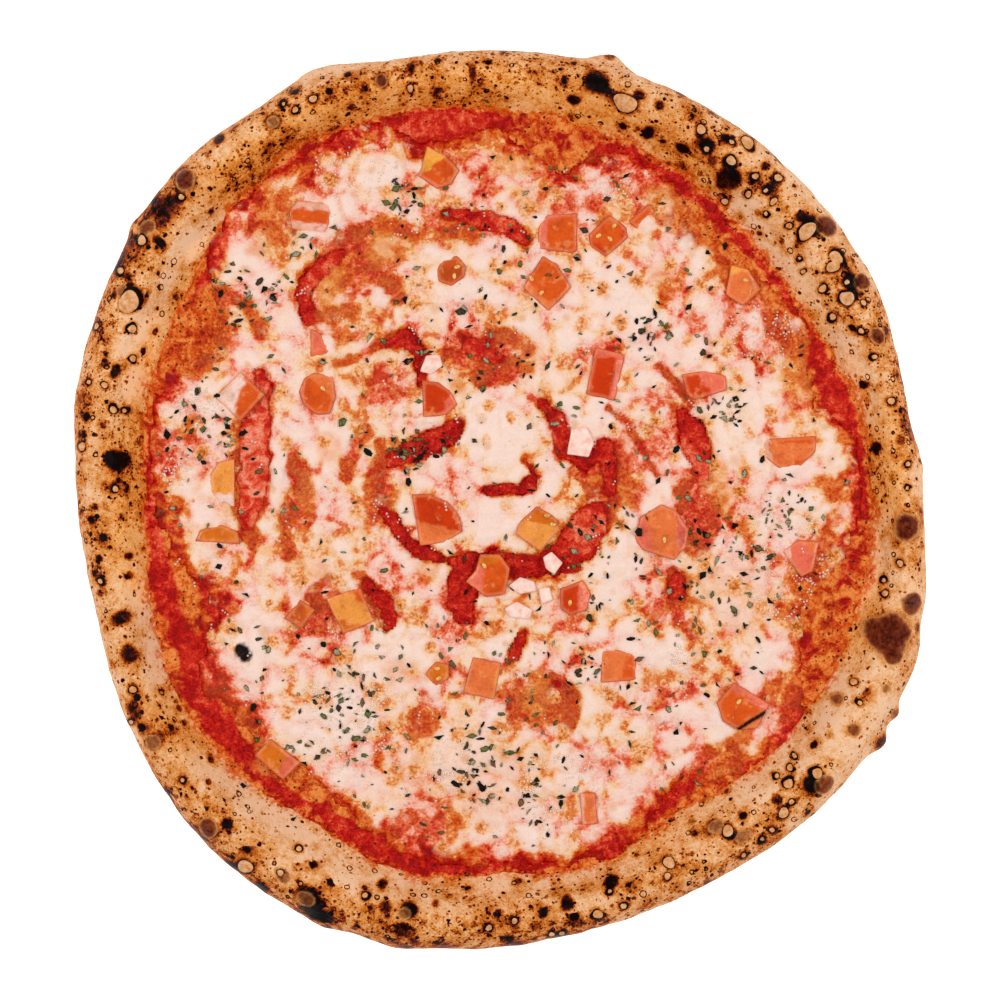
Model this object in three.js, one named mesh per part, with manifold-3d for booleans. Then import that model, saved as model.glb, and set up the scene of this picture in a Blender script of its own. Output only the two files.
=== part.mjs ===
// A round pizza baked in a hot oven: a leavened dough disc with a puffed rim, a layer of tomato sauce,
// a melted cheese sheet that leaves pools of sauce bare, diced tomato sunk in it and dried herbs on it.
// Millimetres, +Z up. The origin is the middle of the flat underside.
import * as THREE from "three";
import { mergeVertices } from "three/addons/utils/BufferGeometryUtils.js";
import Module from "manifold-3d";

const wasm = await Module();
wasm.setup();

// ---- driving dimensions -------------------------------------------------------------------------

const FLOOR = 3.5; // thickness of the dough under the toppings
const CLEARANCE = 0.3; // gap that two touching pieces keep
const SLOPE_CLEARANCE = 0.45; // the same gap measured upright over the rim's slope
const SAUCE_TOP = 5.2;
const SAUCE_EDGE_TOP = 6.0; // the sauce creeps up the foot of the rim
const CHEESE_TOP = 8.0;
const CHEESE_EDGE_TOP = 6.7;
const TOE = 2; // the rim's foot starts this far inside the edge of the sauce
const EMBED = 1; // a layer's mass reaches this far into the one below before that is cut away
const POCKET_PLAY = 1.1; // how much wider the cheese's pocket is than the piece in it
const DICE_HEIGHT = 3.8; // a baked tomato dice, a little flattened
const DICE_SOFTNESS = 1; // bevel of its edges
const CUT_UNEVENNESS = 1.4; // a cut corner strays up to half of this either way
const LUMP_HEIGHT = 3.5; // a crumb of cheese
const LUMP_SOFTNESS = 1.1;

// Radius of the pizza's outline every 15 degrees, counter-clockwise from +X.
const OUTLINE = [
  148, 147, 151.5, 153.6, 155.4, 156.6, 157.3, 158.9, 161, 161.9, 157.4, 153,
  148.2, 147, 151.7, 157, 160.5, 160.2, 156.7, 153.5, 153.2, 155.7, 156.1, 153.4,
];
// Radius of the sauce's outer edge, every 15 degrees.
const SAUCE_EDGE = [
  131, 130, 126, 126.5, 131, 133.5, 137, 141, 142.5, 137.5, 131, 128.5,
  124.5, 127, 132.5, 133, 131, 135, 131.5, 132.5, 126, 129, 130.5, 131,
];
// Height of the rim's crest, every 15 degrees.
const CREST = [
  17, 16, 17, 18, 18.5, 17.5, 16.5, 17, 18, 17.5, 17, 18,
  17, 16, 17, 18.5, 19, 18.5, 17.5, 17, 17, 18, 20, 19,
];
// Radius of the cheese's outer edge, every 10 degrees.
const CHEESE_EDGE = [
  124, 122, 115, 121, 121, 119, 126, 127, 118, 130, 128, 137,
  135, 133, 131, 114, 125, 124, 119, 117, 107, 121, 121, 123,
  120, 126, 127, 126, 127, 125, 111, 118, 126, 122, 114, 122,
];

// The rim's section: [across, up]. Across runs 0 at the centre, 1 at the rim's foot, 2 at the outline.
// Up runs -1 on the underside, 0 on the floor, 1 at the crest.
const SECTION = [
  [0, -1], [0.6, -1], [1.2, -1], [1.64, -1], [1.83, -0.88], [1.94, -0.45], [1.988, 0.02],
  [2, 0.24], [1.985, 0.46], [1.93, 0.69], [1.84, 0.86], [1.73, 0.965], [1.6, 1], [1.48, 0.93],
  [1.37, 0.75], [1.27, 0.51], [1.17, 0.27], [1.08, 0.1], [1, 0.02], [0.6, 0], [0, 0],
];

// Puffed blisters on the top of the rim: [angle, radius, width, rise].
const TOP_BLISTERS = [
  [77, 148, 13, 1.8], [71.5, 145, 10, 1.2], [55, 138, 11, 1.6], [40.5, 145, 14, 1.8],
  [34, 143, 12, 1.6], [23.5, 143, 9, 1.0], [151.5, 145.5, 13, 1.4], [174, 134, 11, 1.6],
  [134.5, 155, 13, 1.8], [144, 153, 13, 1.4], [202.5, 139.5, 10, 1.4], [215, 145.5, 11, 1.4],
  [228.5, 152, 12, 1.6], [244, 152.5, 13, 1.8], [257.5, 146, 9, 1.2], [279.5, 142, 9, 1.0],
  [318, 148, 13, 1.8], [341, 142.5, 21, 3.2], [356.5, 141.5, 14, 2.2], [347, 147, 10, 1.4],
];
// Swellings on the outer wall: [angle, width in degrees, push, height of the middle].
const SIDE_BULGES = [
  [112.8, 5.4, 4.4, 6], [83, 9, 0.8, 4], [75.8, 2.4, 4.4, 4.5], [143, 1.6, 1.6, 9], [247, 2, 1.2, 8],
  [257, 1.8, 1.2, 8], [327.5, 2.4, 2.8, 8], [331.6, 1.7, 2, 9], [338.5, 4, 1.7, 9], [30, 1.8, 0.6, 7],
  [4.5, 2.6, 1.6, 8], [167, 4, 0.8, 8],
];

const BLISTER_REACH = 0.6; // a blister's foot lies this share of its width from its middle
const SWELLING_REACH = 6; // a swelling fades out this far above and below its middle

// Where the sauce is bare: each pool is a stroke along [x, y] points, so many millimetres wide.
const POOLS = [
  { width: 3.4, path: [[-6, 3], [0, 4], [6, 3], [11, 5], [12, 9], [9, 14]] },
  { width: 5.4, path: [[-21, 101], [-12, 100], [-5, 98], [3, 96], [9, 90]] },
  { width: 5.4, path: [[-41, 55], [-32, 57], [-28, 52], [-28, 41]] },
  { width: 8, path: [[-38, 14], [-30, 17], [-22, 21], [-15, 26]] },
  { width: 5.6, path: [[15, 34], [20, 28], [23, 17], [29, 13], [37, 18], [39, 6], [38, -5]] },
  { width: 12.5, path: [[35, -3], [30, -11], [24, -20], [13, -24]] },
  { width: 11.5, path: [[13, -24], [2, -23], [-11, -25], [-14, -34], [-12, -41]] },
  { width: 4.6, path: [[-42, -3], [-37, -8], [-33, -14], [-27, -19], [-12, -23]] },
  { width: 12, path: [[67, 27], [67, 20], [65, 12]] },
  { width: 5.4, path: [[-56, 87], [-65, 80], [-70, 72], [-67, 63]] },
  { width: 5, path: [[-47, -29], [-39, -38], [-40, -47]] },
  { width: 9, path: [[-84, 27], [-87, 14], [-87, 0], [-90, -6]] },
  { width: 5, path: [[62, -26], [62, -35]] },
  { width: 3.2, path: [[8, -46], [5, -55]] },
  { width: 5, path: [[-13, 57], [-7, 52], [1, 49]] },
];

// Diced tomato: middle, sides, turn in degrees about Z, tilt in degrees, way it was cut, flesh colour.
const TOMATO = [
  { at: [-22, 117], size: [14, 13], turn: -40, tilt: 5, cut: "wedge", flesh: "amber" },
  { at: [19.8, 93.5], size: [13.5, 14], turn: 4, tilt: 3, cut: "dice", flesh: "orange" },
  { at: [38, 93], size: [15, 11.5], turn: 42, tilt: 4, cut: "dice", flesh: "orange" },
  { at: [50.5, 100], size: [9, 5], turn: 35, tilt: 6, cut: "dice", flesh: "orange" },
  { at: [16, 75.5], size: [16, 14], turn: -52, tilt: 5, cut: "dice", flesh: "red" },
  { at: [-17, 80], size: [11, 10], turn: 20, tilt: 4, cut: "dice", flesh: "red" },
  { at: [-66, 99], size: [15, 13], turn: -12, tilt: 2, cut: "dice", flesh: "veiled" },
  { at: [86, 74], size: [13, 12], turn: 55, tilt: 4, cut: "dice", flesh: "amber" },
  { at: [-64, 55], size: [10.5, 9.5], turn: 62, tilt: 4, cut: "corner", flesh: "red" },
  { at: [-64, 37], size: [13.5, 12.5], turn: -60, tilt: 5, cut: "wedge", flesh: "orange" },
  { at: [-91, 36], size: [14, 13], turn: 40, tilt: 3, cut: "dice", flesh: "veiled" },
  { at: [-97.3, 6], size: [17, 9.5], turn: 84, tilt: 2, cut: "half", flesh: "amber" },
  { at: [-99, -12.3], size: [17, 8], turn: -6, tilt: 4, cut: "half", flesh: "amber" },
  { at: [-52.5, -39], size: [15, 14], turn: 25, tilt: 3, cut: "dice", flesh: "amber" },
  { at: [-70, -40], size: [10, 8], turn: 60, tilt: 4, cut: "dice", flesh: "red" },
  { at: [-22, -61], size: [11, 9], turn: 70, tilt: 5, cut: "corner", flesh: "amber" },
  { at: [-6.5, -62.5], size: [15, 12.5], turn: 76, tilt: 4, cut: "dice", flesh: "orange" },
  { at: [41.5, -58], size: [13, 12.5], turn: -4, tilt: 3, cut: "dice", flesh: "orange" },
  { at: [31, -108], size: [12, 6], turn: 96, tilt: 5, cut: "dice", flesh: "veiled" },
  { at: [-78, -90.5], size: [15, 11], turn: -37, tilt: 5, cut: "dice", flesh: "orange" },
  { at: [84, -72], size: [17, 13], turn: -28, tilt: 6, cut: "dice", flesh: "orange" },
  { at: [-22, 35.5], size: [14, 14.5], turn: 8, tilt: 5, cut: "wedge", flesh: "red" },
  { at: [-22.5, -7], size: [18, 19], turn: 4, tilt: 4, cut: "wedge", flesh: "red" },
  { at: [13, -10], size: [13, 12.5], turn: 48, tilt: 6, cut: "dice", flesh: "amber" },
  { at: [-4, -27], size: [15, 13.5], turn: 64, tilt: 6, cut: "dice", flesh: "orange" },
  { at: [26.3, -34], size: [11.5, 11.5], turn: 18, tilt: 7, cut: "dice", flesh: "red" },
  { at: [36.5, 44], size: [18.5, 11.5], turn: 76, tilt: 3, cut: "dice", flesh: "red" },
  { at: [71.5, 40], size: [16, 10.5], turn: 8, tilt: 5, cut: "dice", flesh: "red" },
  { at: [101, 16.5], size: [20, 12.5], turn: 188, tilt: 3, cut: "half", flesh: "orange" },
  { at: [56.5, -11.5], size: [20, 17], turn: -22, tilt: 5, cut: "wedge", flesh: "red" },
  { at: [106, -20], size: [15, 13], turn: 52, tilt: 3, cut: "corner", flesh: "veiled" },
];

// Crumbs of cheese that didn't melt: middle, sides, turn.
const LUMPS = [
  { at: [-24, 47.5], size: [8, 6.5], turn: 10 },
  { at: [28, 20.5], size: [9, 10.5], turn: 4 },
  { at: [18.5, -22], size: [5, 7.5], turn: 28 },
  { at: [8, -30], size: [9, 6], turn: -14 },
  { at: [15.8, -33.3], size: [5, 6.5], turn: -6 },
  { at: [6.5, -38.8], size: [10, 5], turn: -20 },
];

const HERB_COUNT = 80;
const HERB_SIZE = [3.0, 1.7, 1.1]; // a shred of dried leaf
const HERB_VARIATION = [0.75, 0.5]; // its smallest share of that size, and how much more it may have
const HERB_TILT = 0.5; // radians between the steepest shreds
const HERB_LIFT = 0.1; // the middle of a shred stands this far above the cheese
const HERB_SPACING = 6;
const HERB_SPREAD = 118; // radius that the shreds are strewn over
const HERB_REACH = 0.9; // they lie within this share of the cheese's radius
const POOL_MARGIN = 2.5; // and this far from a pool's edge
const BLOCK_MARGIN = 2.2; // and from a piece of tomato or a crumb of cheese
const MOST_TRIES = 6000;

// ---- colours --------------------------------------------------------------------------------------

const LOOKS = {
  crust: { color: 0xd9a66b, roughness: 0.75 },
  sauce: { color: 0xb02018, roughness: 0.3 },
  cheese: { color: 0xf3dcc0, roughness: 0.4 },
  red: { color: 0xd8410f, roughness: 0.25 },
  orange: { color: 0xdd6420, roughness: 0.25 },
  amber: { color: 0xe8922e, roughness: 0.3 },
  veiled: { color: 0xe58a68, roughness: 0.35 },
  lump: { color: 0xf6e2d4, roughness: 0.45 },
};

// ---- small tools ----------------------------------------------------------------------------------

const DEGREE = Math.PI / 180;
const smooth = (t) => {
  const c = Math.min(1, Math.max(0, t));
  return c * c * (3 - 2 * c);
};

// A closed smooth curve through values that are evenly spaced round the circle.
function around(values, angle) {
  const n = values.length;
  const t = (((angle / (2 * Math.PI)) % 1) + 1) % 1 * n;
  const i = Math.floor(t);
  const f = t - i;
  const [a, b, c, d] = [-1, 0, 1, 2].map((k) => values[(i + k + n) % n]);
  return b + 0.5 * f * (c - a + f * (2 * a - 5 * b + 4 * c - d + f * (3 * (b - c) + d - a)));
}

// The same sequence of numbers from 0 to 1 on every run.
function seeded(seed) {
  let state = seed;
  return () => {
    state = (Math.imul(state, 1664525) + 1013904223) >>> 0;
    return state / 4294967296;
  };
}

function solidOf(geometry) {
  const bare = geometry.index ? geometry.toNonIndexed() : geometry.clone();
  bare.deleteAttribute("normal");
  bare.deleteAttribute("uv");
  const merged = mergeVertices(bare, 1e-3);
  const mesh = new wasm.Mesh({
    numProp: 3,
    vertProperties: merged.attributes.position.array,
    triVerts: new Uint32Array(merged.index.array),
  });
  return new wasm.Manifold(mesh);
}

function geometryOf(solid) {
  const mesh = solid.getMesh();
  const geometry = new THREE.BufferGeometry();
  geometry.setAttribute("position", new THREE.BufferAttribute(mesh.vertProperties, 3));
  geometry.setIndex(new THREE.BufferAttribute(mesh.triVerts, 1));
  geometry.computeVertexNormals();
  return geometry;
}

function piece(name, geometry, look) {
  const mesh = new THREE.Mesh(geometry, new THREE.MeshStandardMaterial({ metalness: 0, ...LOOKS[look] }));
  mesh.name = name;
  return mesh;
}

// Spins a profile of [across, up] pairs, then moves each vertex to place(angle, across, up) = [radius, z].
function spun(profile, steps, place) {
  const points = profile.map(([across, up]) => new THREE.Vector2(across, up));
  const geometry = new THREE.LatheGeometry(points, steps).rotateX(Math.PI / 2);
  const position = geometry.attributes.position;
  for (let i = 0; i < position.count; i += 1) {
    const x = position.getX(i);
    const y = position.getY(i);
    const across = Math.hypot(x, y);
    const angle = across > 1e-9 ? Math.atan2(y, x) : 0;
    const [radius, z] = place(angle, across, position.getZ(i));
    position.setXYZ(i, radius * Math.cos(angle), radius * Math.sin(angle), z);
  }
  return geometry;
}

// ---- dough ----------------------------------------------------------------------------------------

// Slow waves that keep the rim from being even.
const rimWave = (angle) =>
  0.7 * Math.sin(7 * angle + 1) + 0.5 * Math.sin(11 * angle + 2.1) + 0.35 * Math.sin(17 * angle + 0.4);

function blisterRise(x, y) {
  return TOP_BLISTERS.reduce((sum, [angle, radius, width, rise]) => {
    const dx = x - radius * Math.cos(angle * DEGREE);
    const dy = y - radius * Math.sin(angle * DEGREE);
    const near = 1 - (dx * dx + dy * dy) / (BLISTER_REACH * width) ** 2;
    return sum + (near > 0 ? rise * near * near : 0);
  }, 0);
}

function bulgePush(angle, z) {
  return SIDE_BULGES.reduce((sum, [at, width, push, height]) => {
    const turn = Math.atan2(Math.sin(angle - at * DEGREE), Math.cos(angle - at * DEGREE));
    const along = turn / (width * DEGREE);
    const up = (z - height) / SWELLING_REACH;
    return sum + push * Math.exp(-along * along - up * up);
  }, 0);
}

const BLISTERS_FROM = 0.3; // blisters show on the rim above this, in the section's up
const SWELLINGS_FROM = 1.7; // and swellings beyond this, in its across

function rimPoint(angle, across, up) {
  const foot = around(SAUCE_EDGE, angle) - TOE;
  const outline = around(OUTLINE, angle);
  const crest = around(CREST, angle) + rimWave(angle);
  const onRim = Math.max(0, across - 1);
  const radius = across <= 1 ? across * foot : foot + onRim * (outline - foot);
  const z = up < 0 ? FLOOR * (1 + up) : FLOOR + up * (crest - FLOOR);
  const rise = up > BLISTERS_FROM ? blisterRise(radius * Math.cos(angle), radius * Math.sin(angle)) : 0;
  const pushed = radius + (across > SWELLINGS_FROM && up > -1 ? bulgePush(angle, z) : 0);
  return [pushed, z + rise];
}

const RIM_STEPS = 92;
const crustSolid = solidOf(spun(SECTION, RIM_STEPS, rimPoint));

// ---- sauce ----------------------------------------------------------------------------------------

const SAUCE_STEPS = 60;
const CREEP_FROM = 0.93; // the sauce starts to creep up the rim at this share of its radius
const CREEP_END = 0.985;
const SAUCE_REACH = 1.03; // its mass runs on into the rim, which cuts it off

// [across, up]: across 1 is the sauce's edge; up is 0 below, 1 on the top face.
const SAUCE_SECTION = [
  [0, 0], [SAUCE_REACH, 0], [SAUCE_REACH, 1], [CREEP_END, 1], [CREEP_FROM, 1], [0.5, 1], [0, 1],
];

function saucePoint(angle, across, up) {
  const radius = across * around(SAUCE_EDGE, angle);
  const creep = smooth((across - CREEP_FROM) / (CREEP_END - CREEP_FROM));
  const top = SAUCE_TOP + creep * (SAUCE_EDGE_TOP - SAUCE_TOP);
  return [radius, up > 0.5 ? top : FLOOR - EMBED];
}

const sauceSolid = solidOf(spun(SAUCE_SECTION, SAUCE_STEPS, saucePoint)).subtract(
  crustSolid.translate(0, 0, SLOPE_CLEARANCE),
);

// ---- cheese ---------------------------------------------------------------------------------------

// Slow humps and hollows of melted cheese.
const meltWave = (x, y) =>
  0.55 * Math.sin(x / 7.9 + 1) * Math.sin(y / 8.7 + 2) +
  0.35 * Math.sin(x / 7.1 + y / 9.3) +
  0.3 * Math.sin(y / 6.9 - x / 11.7 + 0.6);

const CHEESE_RINGS = [0.1, 0.22, 0.34, 0.46, 0.57, 0.68, 0.78, 0.87, 0.95];
const CHEESE_STEPS = 72;
const THIN_FROM = 0.88; // the cheese thins out beyond this share of its radius

function cheeseHeight(x, y) {
  const across = Math.hypot(x, y) / around(CHEESE_EDGE, Math.atan2(y, x));
  const thin = smooth((across - THIN_FROM) / (1 - THIN_FROM));
  const top = CHEESE_TOP + meltWave(x, y);
  return top + thin * (CHEESE_EDGE_TOP - top);
}

function cheesePoint(angle, across, up) {
  const radius = across * around(CHEESE_EDGE, angle);
  const z = up > 0.5 ? cheeseHeight(radius * Math.cos(angle), radius * Math.sin(angle)) : SAUCE_TOP - EMBED;
  return [radius, z];
}

const POOL_END = 0.08; // the stroke's rounding starts this share of a half-turn before its ends
const POOL_NARROWEST = 0.12; // square of its narrowest share of the width
const POOL_DEPTH = 8;

// A pool's outline: the stroke's path with rounded ends, wider in the middle.
function poolSolid({ width, path }) {
  const curve = new THREE.CatmullRomCurve3(path.map(([x, y]) => new THREE.Vector3(x, y, 0)));
  const steps = path.length + 2;
  const left = [];
  const right = [];
  for (let i = 0; i <= steps; i += 1) {
    const t = i / steps;
    const at = curve.getPointAt(t);
    const along = curve.getTangentAt(t);
    const round = Math.sin(Math.PI * (POOL_END + (1 - 2 * POOL_END) * t));
    const half = 0.5 * width * Math.sqrt(Math.max(POOL_NARROWEST, round));
    left.push(new THREE.Vector2(at.x - along.y * half, at.y + along.x * half));
    right.unshift(new THREE.Vector2(at.x + along.y * half, at.y - along.x * half));
  }
  const shape = new THREE.Shape([...left, ...right]);
  const geometry = new THREE.ExtrudeGeometry(shape, { depth: POOL_DEPTH, bevelEnabled: false });
  return solidOf(geometry.translate(0, 0, FLOOR));
}

// ---- tomato and crumbs of cheese --------------------------------------------------------------------

// Corners of the straight cuts, as shares of half a side.
const CORNERS = {
  dice: [[-1, -1], [1, -1], [1, 1], [-1, 1]],
  corner: [[-1, -1], [1, -0.75], [0.1, 1], [-0.6, 0.7]],
};
// Where the skin's arc runs on the round cuts, in half-turns.
const ARCS = { wedge: [-0.5, 0.42], half: [0, 1] };
const ARC_STEPS = 5;
const WEDGE_FULLNESS = 0.8; // below 1, the arc of a wedge bulges more than a circle's

// The outline of a cut piece of tomato, sides a by b, middle at the origin.
function cutOutline(cut, a, b, random) {
  const jog = () => (random() - 0.5) * CUT_UNEVENNESS;
  if (cut in CORNERS) {
    return CORNERS[cut].map(([x, y]) => new THREE.Vector2((x * a) / 2 + jog(), (y * b) / 2 + jog()));
  }
  const [from, to] = ARCS[cut];
  const arc = [];
  for (let i = 0; i <= ARC_STEPS; i += 1) {
    const turn = Math.PI * (from + ((to - from) * i) / ARC_STEPS);
    const [out, side] = [Math.cos(turn), Math.sin(turn)];
    const x = cut === "wedge" ? -a / 2 + a * out ** WEDGE_FULLNESS : (a / 2) * out;
    const y = cut === "wedge" ? (b / 2) * side : -b / 2 + b * side;
    arc.push(new THREE.Vector2(x, y));
  }
  if (cut === "wedge") arc.push(new THREE.Vector2(-a / 2, b / 2), new THREE.Vector2(-a / 2, -b / 2));
  return arc;
}

const CROSS_TILT = 0.6; // a tilted block also leans this share sideways

// A cut block with soft edges, turned, tilted and set down on the sauce.
function block(outline, height, { at, turn, tilt = 0 }, soft) {
  const geometry = new THREE.ExtrudeGeometry(new THREE.Shape(outline), {
    depth: height - 2 * soft,
    bevelEnabled: true,
    bevelThickness: soft,
    bevelSize: soft,
    bevelOffset: -soft,
    bevelSegments: 1,
  });
  geometry.rotateZ(turn * DEGREE).rotateX(tilt * DEGREE).rotateY(CROSS_TILT * tilt * DEGREE);
  geometry.computeBoundingBox();
  geometry.translate(at[0], at[1], SAUCE_TOP + CLEARANCE - geometry.boundingBox.min.z);
  return geometry;
}

// The same block made larger all round, to cut its pocket in the cheese.
function pocketSolid(geometry) {
  const box = new THREE.Box3().setFromBufferAttribute(geometry.attributes.position);
  const size = box.getSize(new THREE.Vector3());
  const middle = box.getCenter(new THREE.Vector3());
  const grown = geometry.clone().translate(-middle.x, -middle.y, -middle.z);
  grown.scale(...size.toArray().map((side) => (side + POCKET_PLAY) / side));
  return solidOf(grown.translate(middle.x, middle.y, middle.z));
}

const CUT_SEED = 7;
const HERB_SEED = 41;
const random = seeded(CUT_SEED);
const tomatoes = TOMATO.map((row) =>
  block(cutOutline(row.cut, ...row.size, random), DICE_HEIGHT, row, DICE_SOFTNESS),
);
const lumps = LUMPS.map((row) =>
  block(cutOutline("dice", ...row.size, random), LUMP_HEIGHT, row, LUMP_SOFTNESS),
);

// ---- herbs on the cheese ----------------------------------------------------------------------------

// Shreds of dried leaf, half sunk in the cheese, spread evenly and clear of tomato, pools and edge.
function herbSolids(cheese, keepClear) {
  const draw = seeded(HERB_SEED);
  const [smallest, spare] = HERB_VARIATION;
  const surface = new THREE.Mesh(geometryOf(cheese));
  const down = new THREE.Raycaster();
  const placed = [];
  const shreds = [];
  for (let tries = 0; tries < MOST_TRIES && shreds.length < HERB_COUNT; tries += 1) {
    const angle = 2 * Math.PI * draw();
    const radius = HERB_SPREAD * Math.sqrt(draw());
    const [x, y] = [radius * Math.cos(angle), radius * Math.sin(angle)];
    const inside = radius < HERB_REACH * around(CHEESE_EDGE, angle);
    const apart = placed.every(([px, py]) => Math.hypot(px - x, py - y) > HERB_SPACING);
    if (!inside || !apart || keepClear(x, y)) continue;
    placed.push([x, y]);
    down.set(new THREE.Vector3(x, y, 2 * CHEESE_TOP), new THREE.Vector3(0, 0, -1));
    const { point } = down.intersectObject(surface)[0];
    const sides = HERB_SIZE.map((side) => side * (smallest + spare * draw()));
    const shred = new THREE.OctahedronGeometry(0.5).scale(...sides);
    shred.rotateZ(2 * Math.PI * draw()).rotateX(HERB_TILT * (draw() - 0.5));
    shreds.push(solidOf(shred.translate(x, y, point.z + HERB_LIFT)));
  }
  return shreds;
}

const nearPool = (x, y) =>
  POOLS.some(({ width, path }) =>
    path.slice(1).some(([bx, by], i) => {
      const [ax, ay] = path[i];
      const length = (bx - ax) ** 2 + (by - ay) ** 2;
      const t = Math.min(1, Math.max(0, ((x - ax) * (bx - ax) + (y - ay) * (by - ay)) / length));
      return Math.hypot(x - ax - t * (bx - ax), y - ay - t * (by - ay)) < width / 2 + POOL_MARGIN;
    }),
  );
const nearBlock = (x, y) =>
  [...TOMATO, ...LUMPS].some(
    ({ at, size }) => Math.hypot(x - at[0], y - at[1]) < Math.hypot(...size) / 2 + BLOCK_MARGIN,
  );

function cheeseSolid() {
  const section = [[0, 0], [1, 0], [1, 1], ...CHEESE_RINGS.map((ring) => [ring, 1]).reverse(), [0, 1]];
  const sheet = solidOf(spun(section, CHEESE_STEPS, cheesePoint));
  const cuts = [...POOLS.map(poolSolid), ...[...tomatoes, ...lumps].map(pocketSolid)];
  const holed = sheet
    .subtract(sauceSolid.translate(0, 0, CLEARANCE))
    .subtract(crustSolid.translate(0, 0, SLOPE_CLEARANCE))
    .subtract(wasm.Manifold.union(cuts));
  const largest = holed.decompose().reduce((best, body) => (body.volume() > best.volume() ? body : best));
  const herbs = herbSolids(largest, (x, y) => nearPool(x, y) || nearBlock(x, y));
  return wasm.Manifold.union([largest, ...herbs]);
}

// ---- the pizza ----------------------------------------------------------------------------------------

const pizza = new THREE.Group();
pizza.add(piece("crust", geometryOf(crustSolid), "crust"));
pizza.add(piece("sauce", geometryOf(sauceSolid), "sauce"));
pizza.add(piece("cheese", geometryOf(cheeseSolid()), "cheese"));
tomatoes.forEach((geometry, i) => {
  pizza.add(piece(`tomato_${String(i + 1).padStart(2, "0")}`, geometry, TOMATO[i].flesh));
});
lumps.forEach((geometry, i) => {
  pizza.add(piece(`cheese_lump_${i + 1}`, geometry, "lump"));
});

export default pizza;
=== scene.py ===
"""The looks of a whole round pizza: baked dough, sauce, melted cheese, diced tomato, dried herbs and froth.

Lengths are millimetres until a mesh is written, angles in the lists are degrees counter-clockwise from +X.
The crust, sauce and cheese follow the forms of their CAD solids on fine meshes. The frothy beads are near
white, so they also stand in as painted glints.
"""

import math
import random

import bmesh
import bpy
import numpy as np
from mathutils import Matrix, Vector

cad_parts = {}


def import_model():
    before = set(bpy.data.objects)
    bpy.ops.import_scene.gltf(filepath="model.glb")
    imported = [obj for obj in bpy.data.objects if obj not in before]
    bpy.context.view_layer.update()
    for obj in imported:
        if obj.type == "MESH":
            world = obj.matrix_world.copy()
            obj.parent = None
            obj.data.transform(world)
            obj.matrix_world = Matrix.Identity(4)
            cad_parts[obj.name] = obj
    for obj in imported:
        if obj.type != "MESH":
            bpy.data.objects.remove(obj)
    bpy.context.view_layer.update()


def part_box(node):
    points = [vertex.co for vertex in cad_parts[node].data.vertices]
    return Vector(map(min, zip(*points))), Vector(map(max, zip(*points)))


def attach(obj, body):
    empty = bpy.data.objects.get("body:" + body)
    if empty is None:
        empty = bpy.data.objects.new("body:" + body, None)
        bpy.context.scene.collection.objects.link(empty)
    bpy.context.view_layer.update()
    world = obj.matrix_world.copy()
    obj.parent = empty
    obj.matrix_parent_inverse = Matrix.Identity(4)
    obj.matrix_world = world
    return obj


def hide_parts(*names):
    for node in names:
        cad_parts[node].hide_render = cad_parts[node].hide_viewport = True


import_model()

MM = 0.001
TAU = 2 * math.pi

# ---- driving dimensions ----------------------------------------------------------------------------------

# These five, and OUTLINE, SAUCE_EDGE, CREST, SECTION and TOP_BLISTERS below, are as in the CAD source.
FLOOR = 3.5  # thickness of the dough under the toppings
SAUCE_TOP = 5.2
TOE = 2.0  # how far inside the sauce's edge the rim starts to rise
CLEARANCE = 0.3  # gap between the sauce and the dough under it
EMBED = 1  # how far the cheese reaches into the sauce

SAUCE_REACH = 3.5  # how far the sauce runs on under the dough's skin
CHEESE_LEVEL = 1.75  # thickness of the cheese where nothing changes it
CHEESE_LEAST = -0.35  # it ends where it would be thinner than this
POCKET_DEPTH = 3.4  # most cheese that lies under a piece of tomato
CURD_SIZE = 9.5
# Half-width and spacing of the fine grids that the sauce and cheese are cut from.
SAUCE_GRID = (147, 1.0)
CHEESE_GRID = (140, 0.9)

# Evenly spaced round the circle: radii of the outline and the sauce, the rim's height, radii of the cheese.
OUTLINE = [
    148, 147, 151.5, 153.6, 155.4, 156.6, 157.3, 158.9, 161, 161.9, 157.4, 153,
    148.2, 147, 151.7, 157, 160.5, 160.2, 156.7, 153.5, 153.2, 155.7, 156.1, 153.4,
]
SAUCE_EDGE = [
    131, 130, 126, 126.5, 131, 133.5, 137, 141, 142.5, 137.5, 131, 128.5,
    124.5, 127, 132.5, 133, 131, 135, 131.5, 132.5, 126, 129, 130.5, 131,
]
CREST = [
    17, 16, 17, 18, 18.5, 17.5, 16.5, 17, 18, 17.5, 17, 18,
    17, 16, 17, 18.5, 19, 18.5, 17.5, 17, 17, 18, 20, 19,
]
CHEESE_EDGE = [
    127, 126, 116, 124, 121, 119, 126, 130, 118, 130, 128, 140,
    139, 139, 135, 114, 125, 125, 121, 117, 107, 121, 121, 123,
    120, 126, 130, 128, 130, 131, 119, 127, 135, 122, 114, 122,
]
# The rim's section: [across, up]; across is 0 at the centre, 1 at the rim's foot and 2 at the outline.
SECTION = [
    (0, -1), (0.6, -1), (1.2, -1), (1.64, -1), (1.83, -0.88), (1.94, -0.45), (1.988, 0.02),
    (2, 0.24), (1.985, 0.46), (1.93, 0.69), (1.84, 0.86), (1.73, 0.965), (1.6, 1), (1.48, 0.93),
    (1.37, 0.75), (1.27, 0.51), (1.17, 0.27), (1.08, 0.1), (1, 0.02), (0.6, 0), (0, 0),
]
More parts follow.
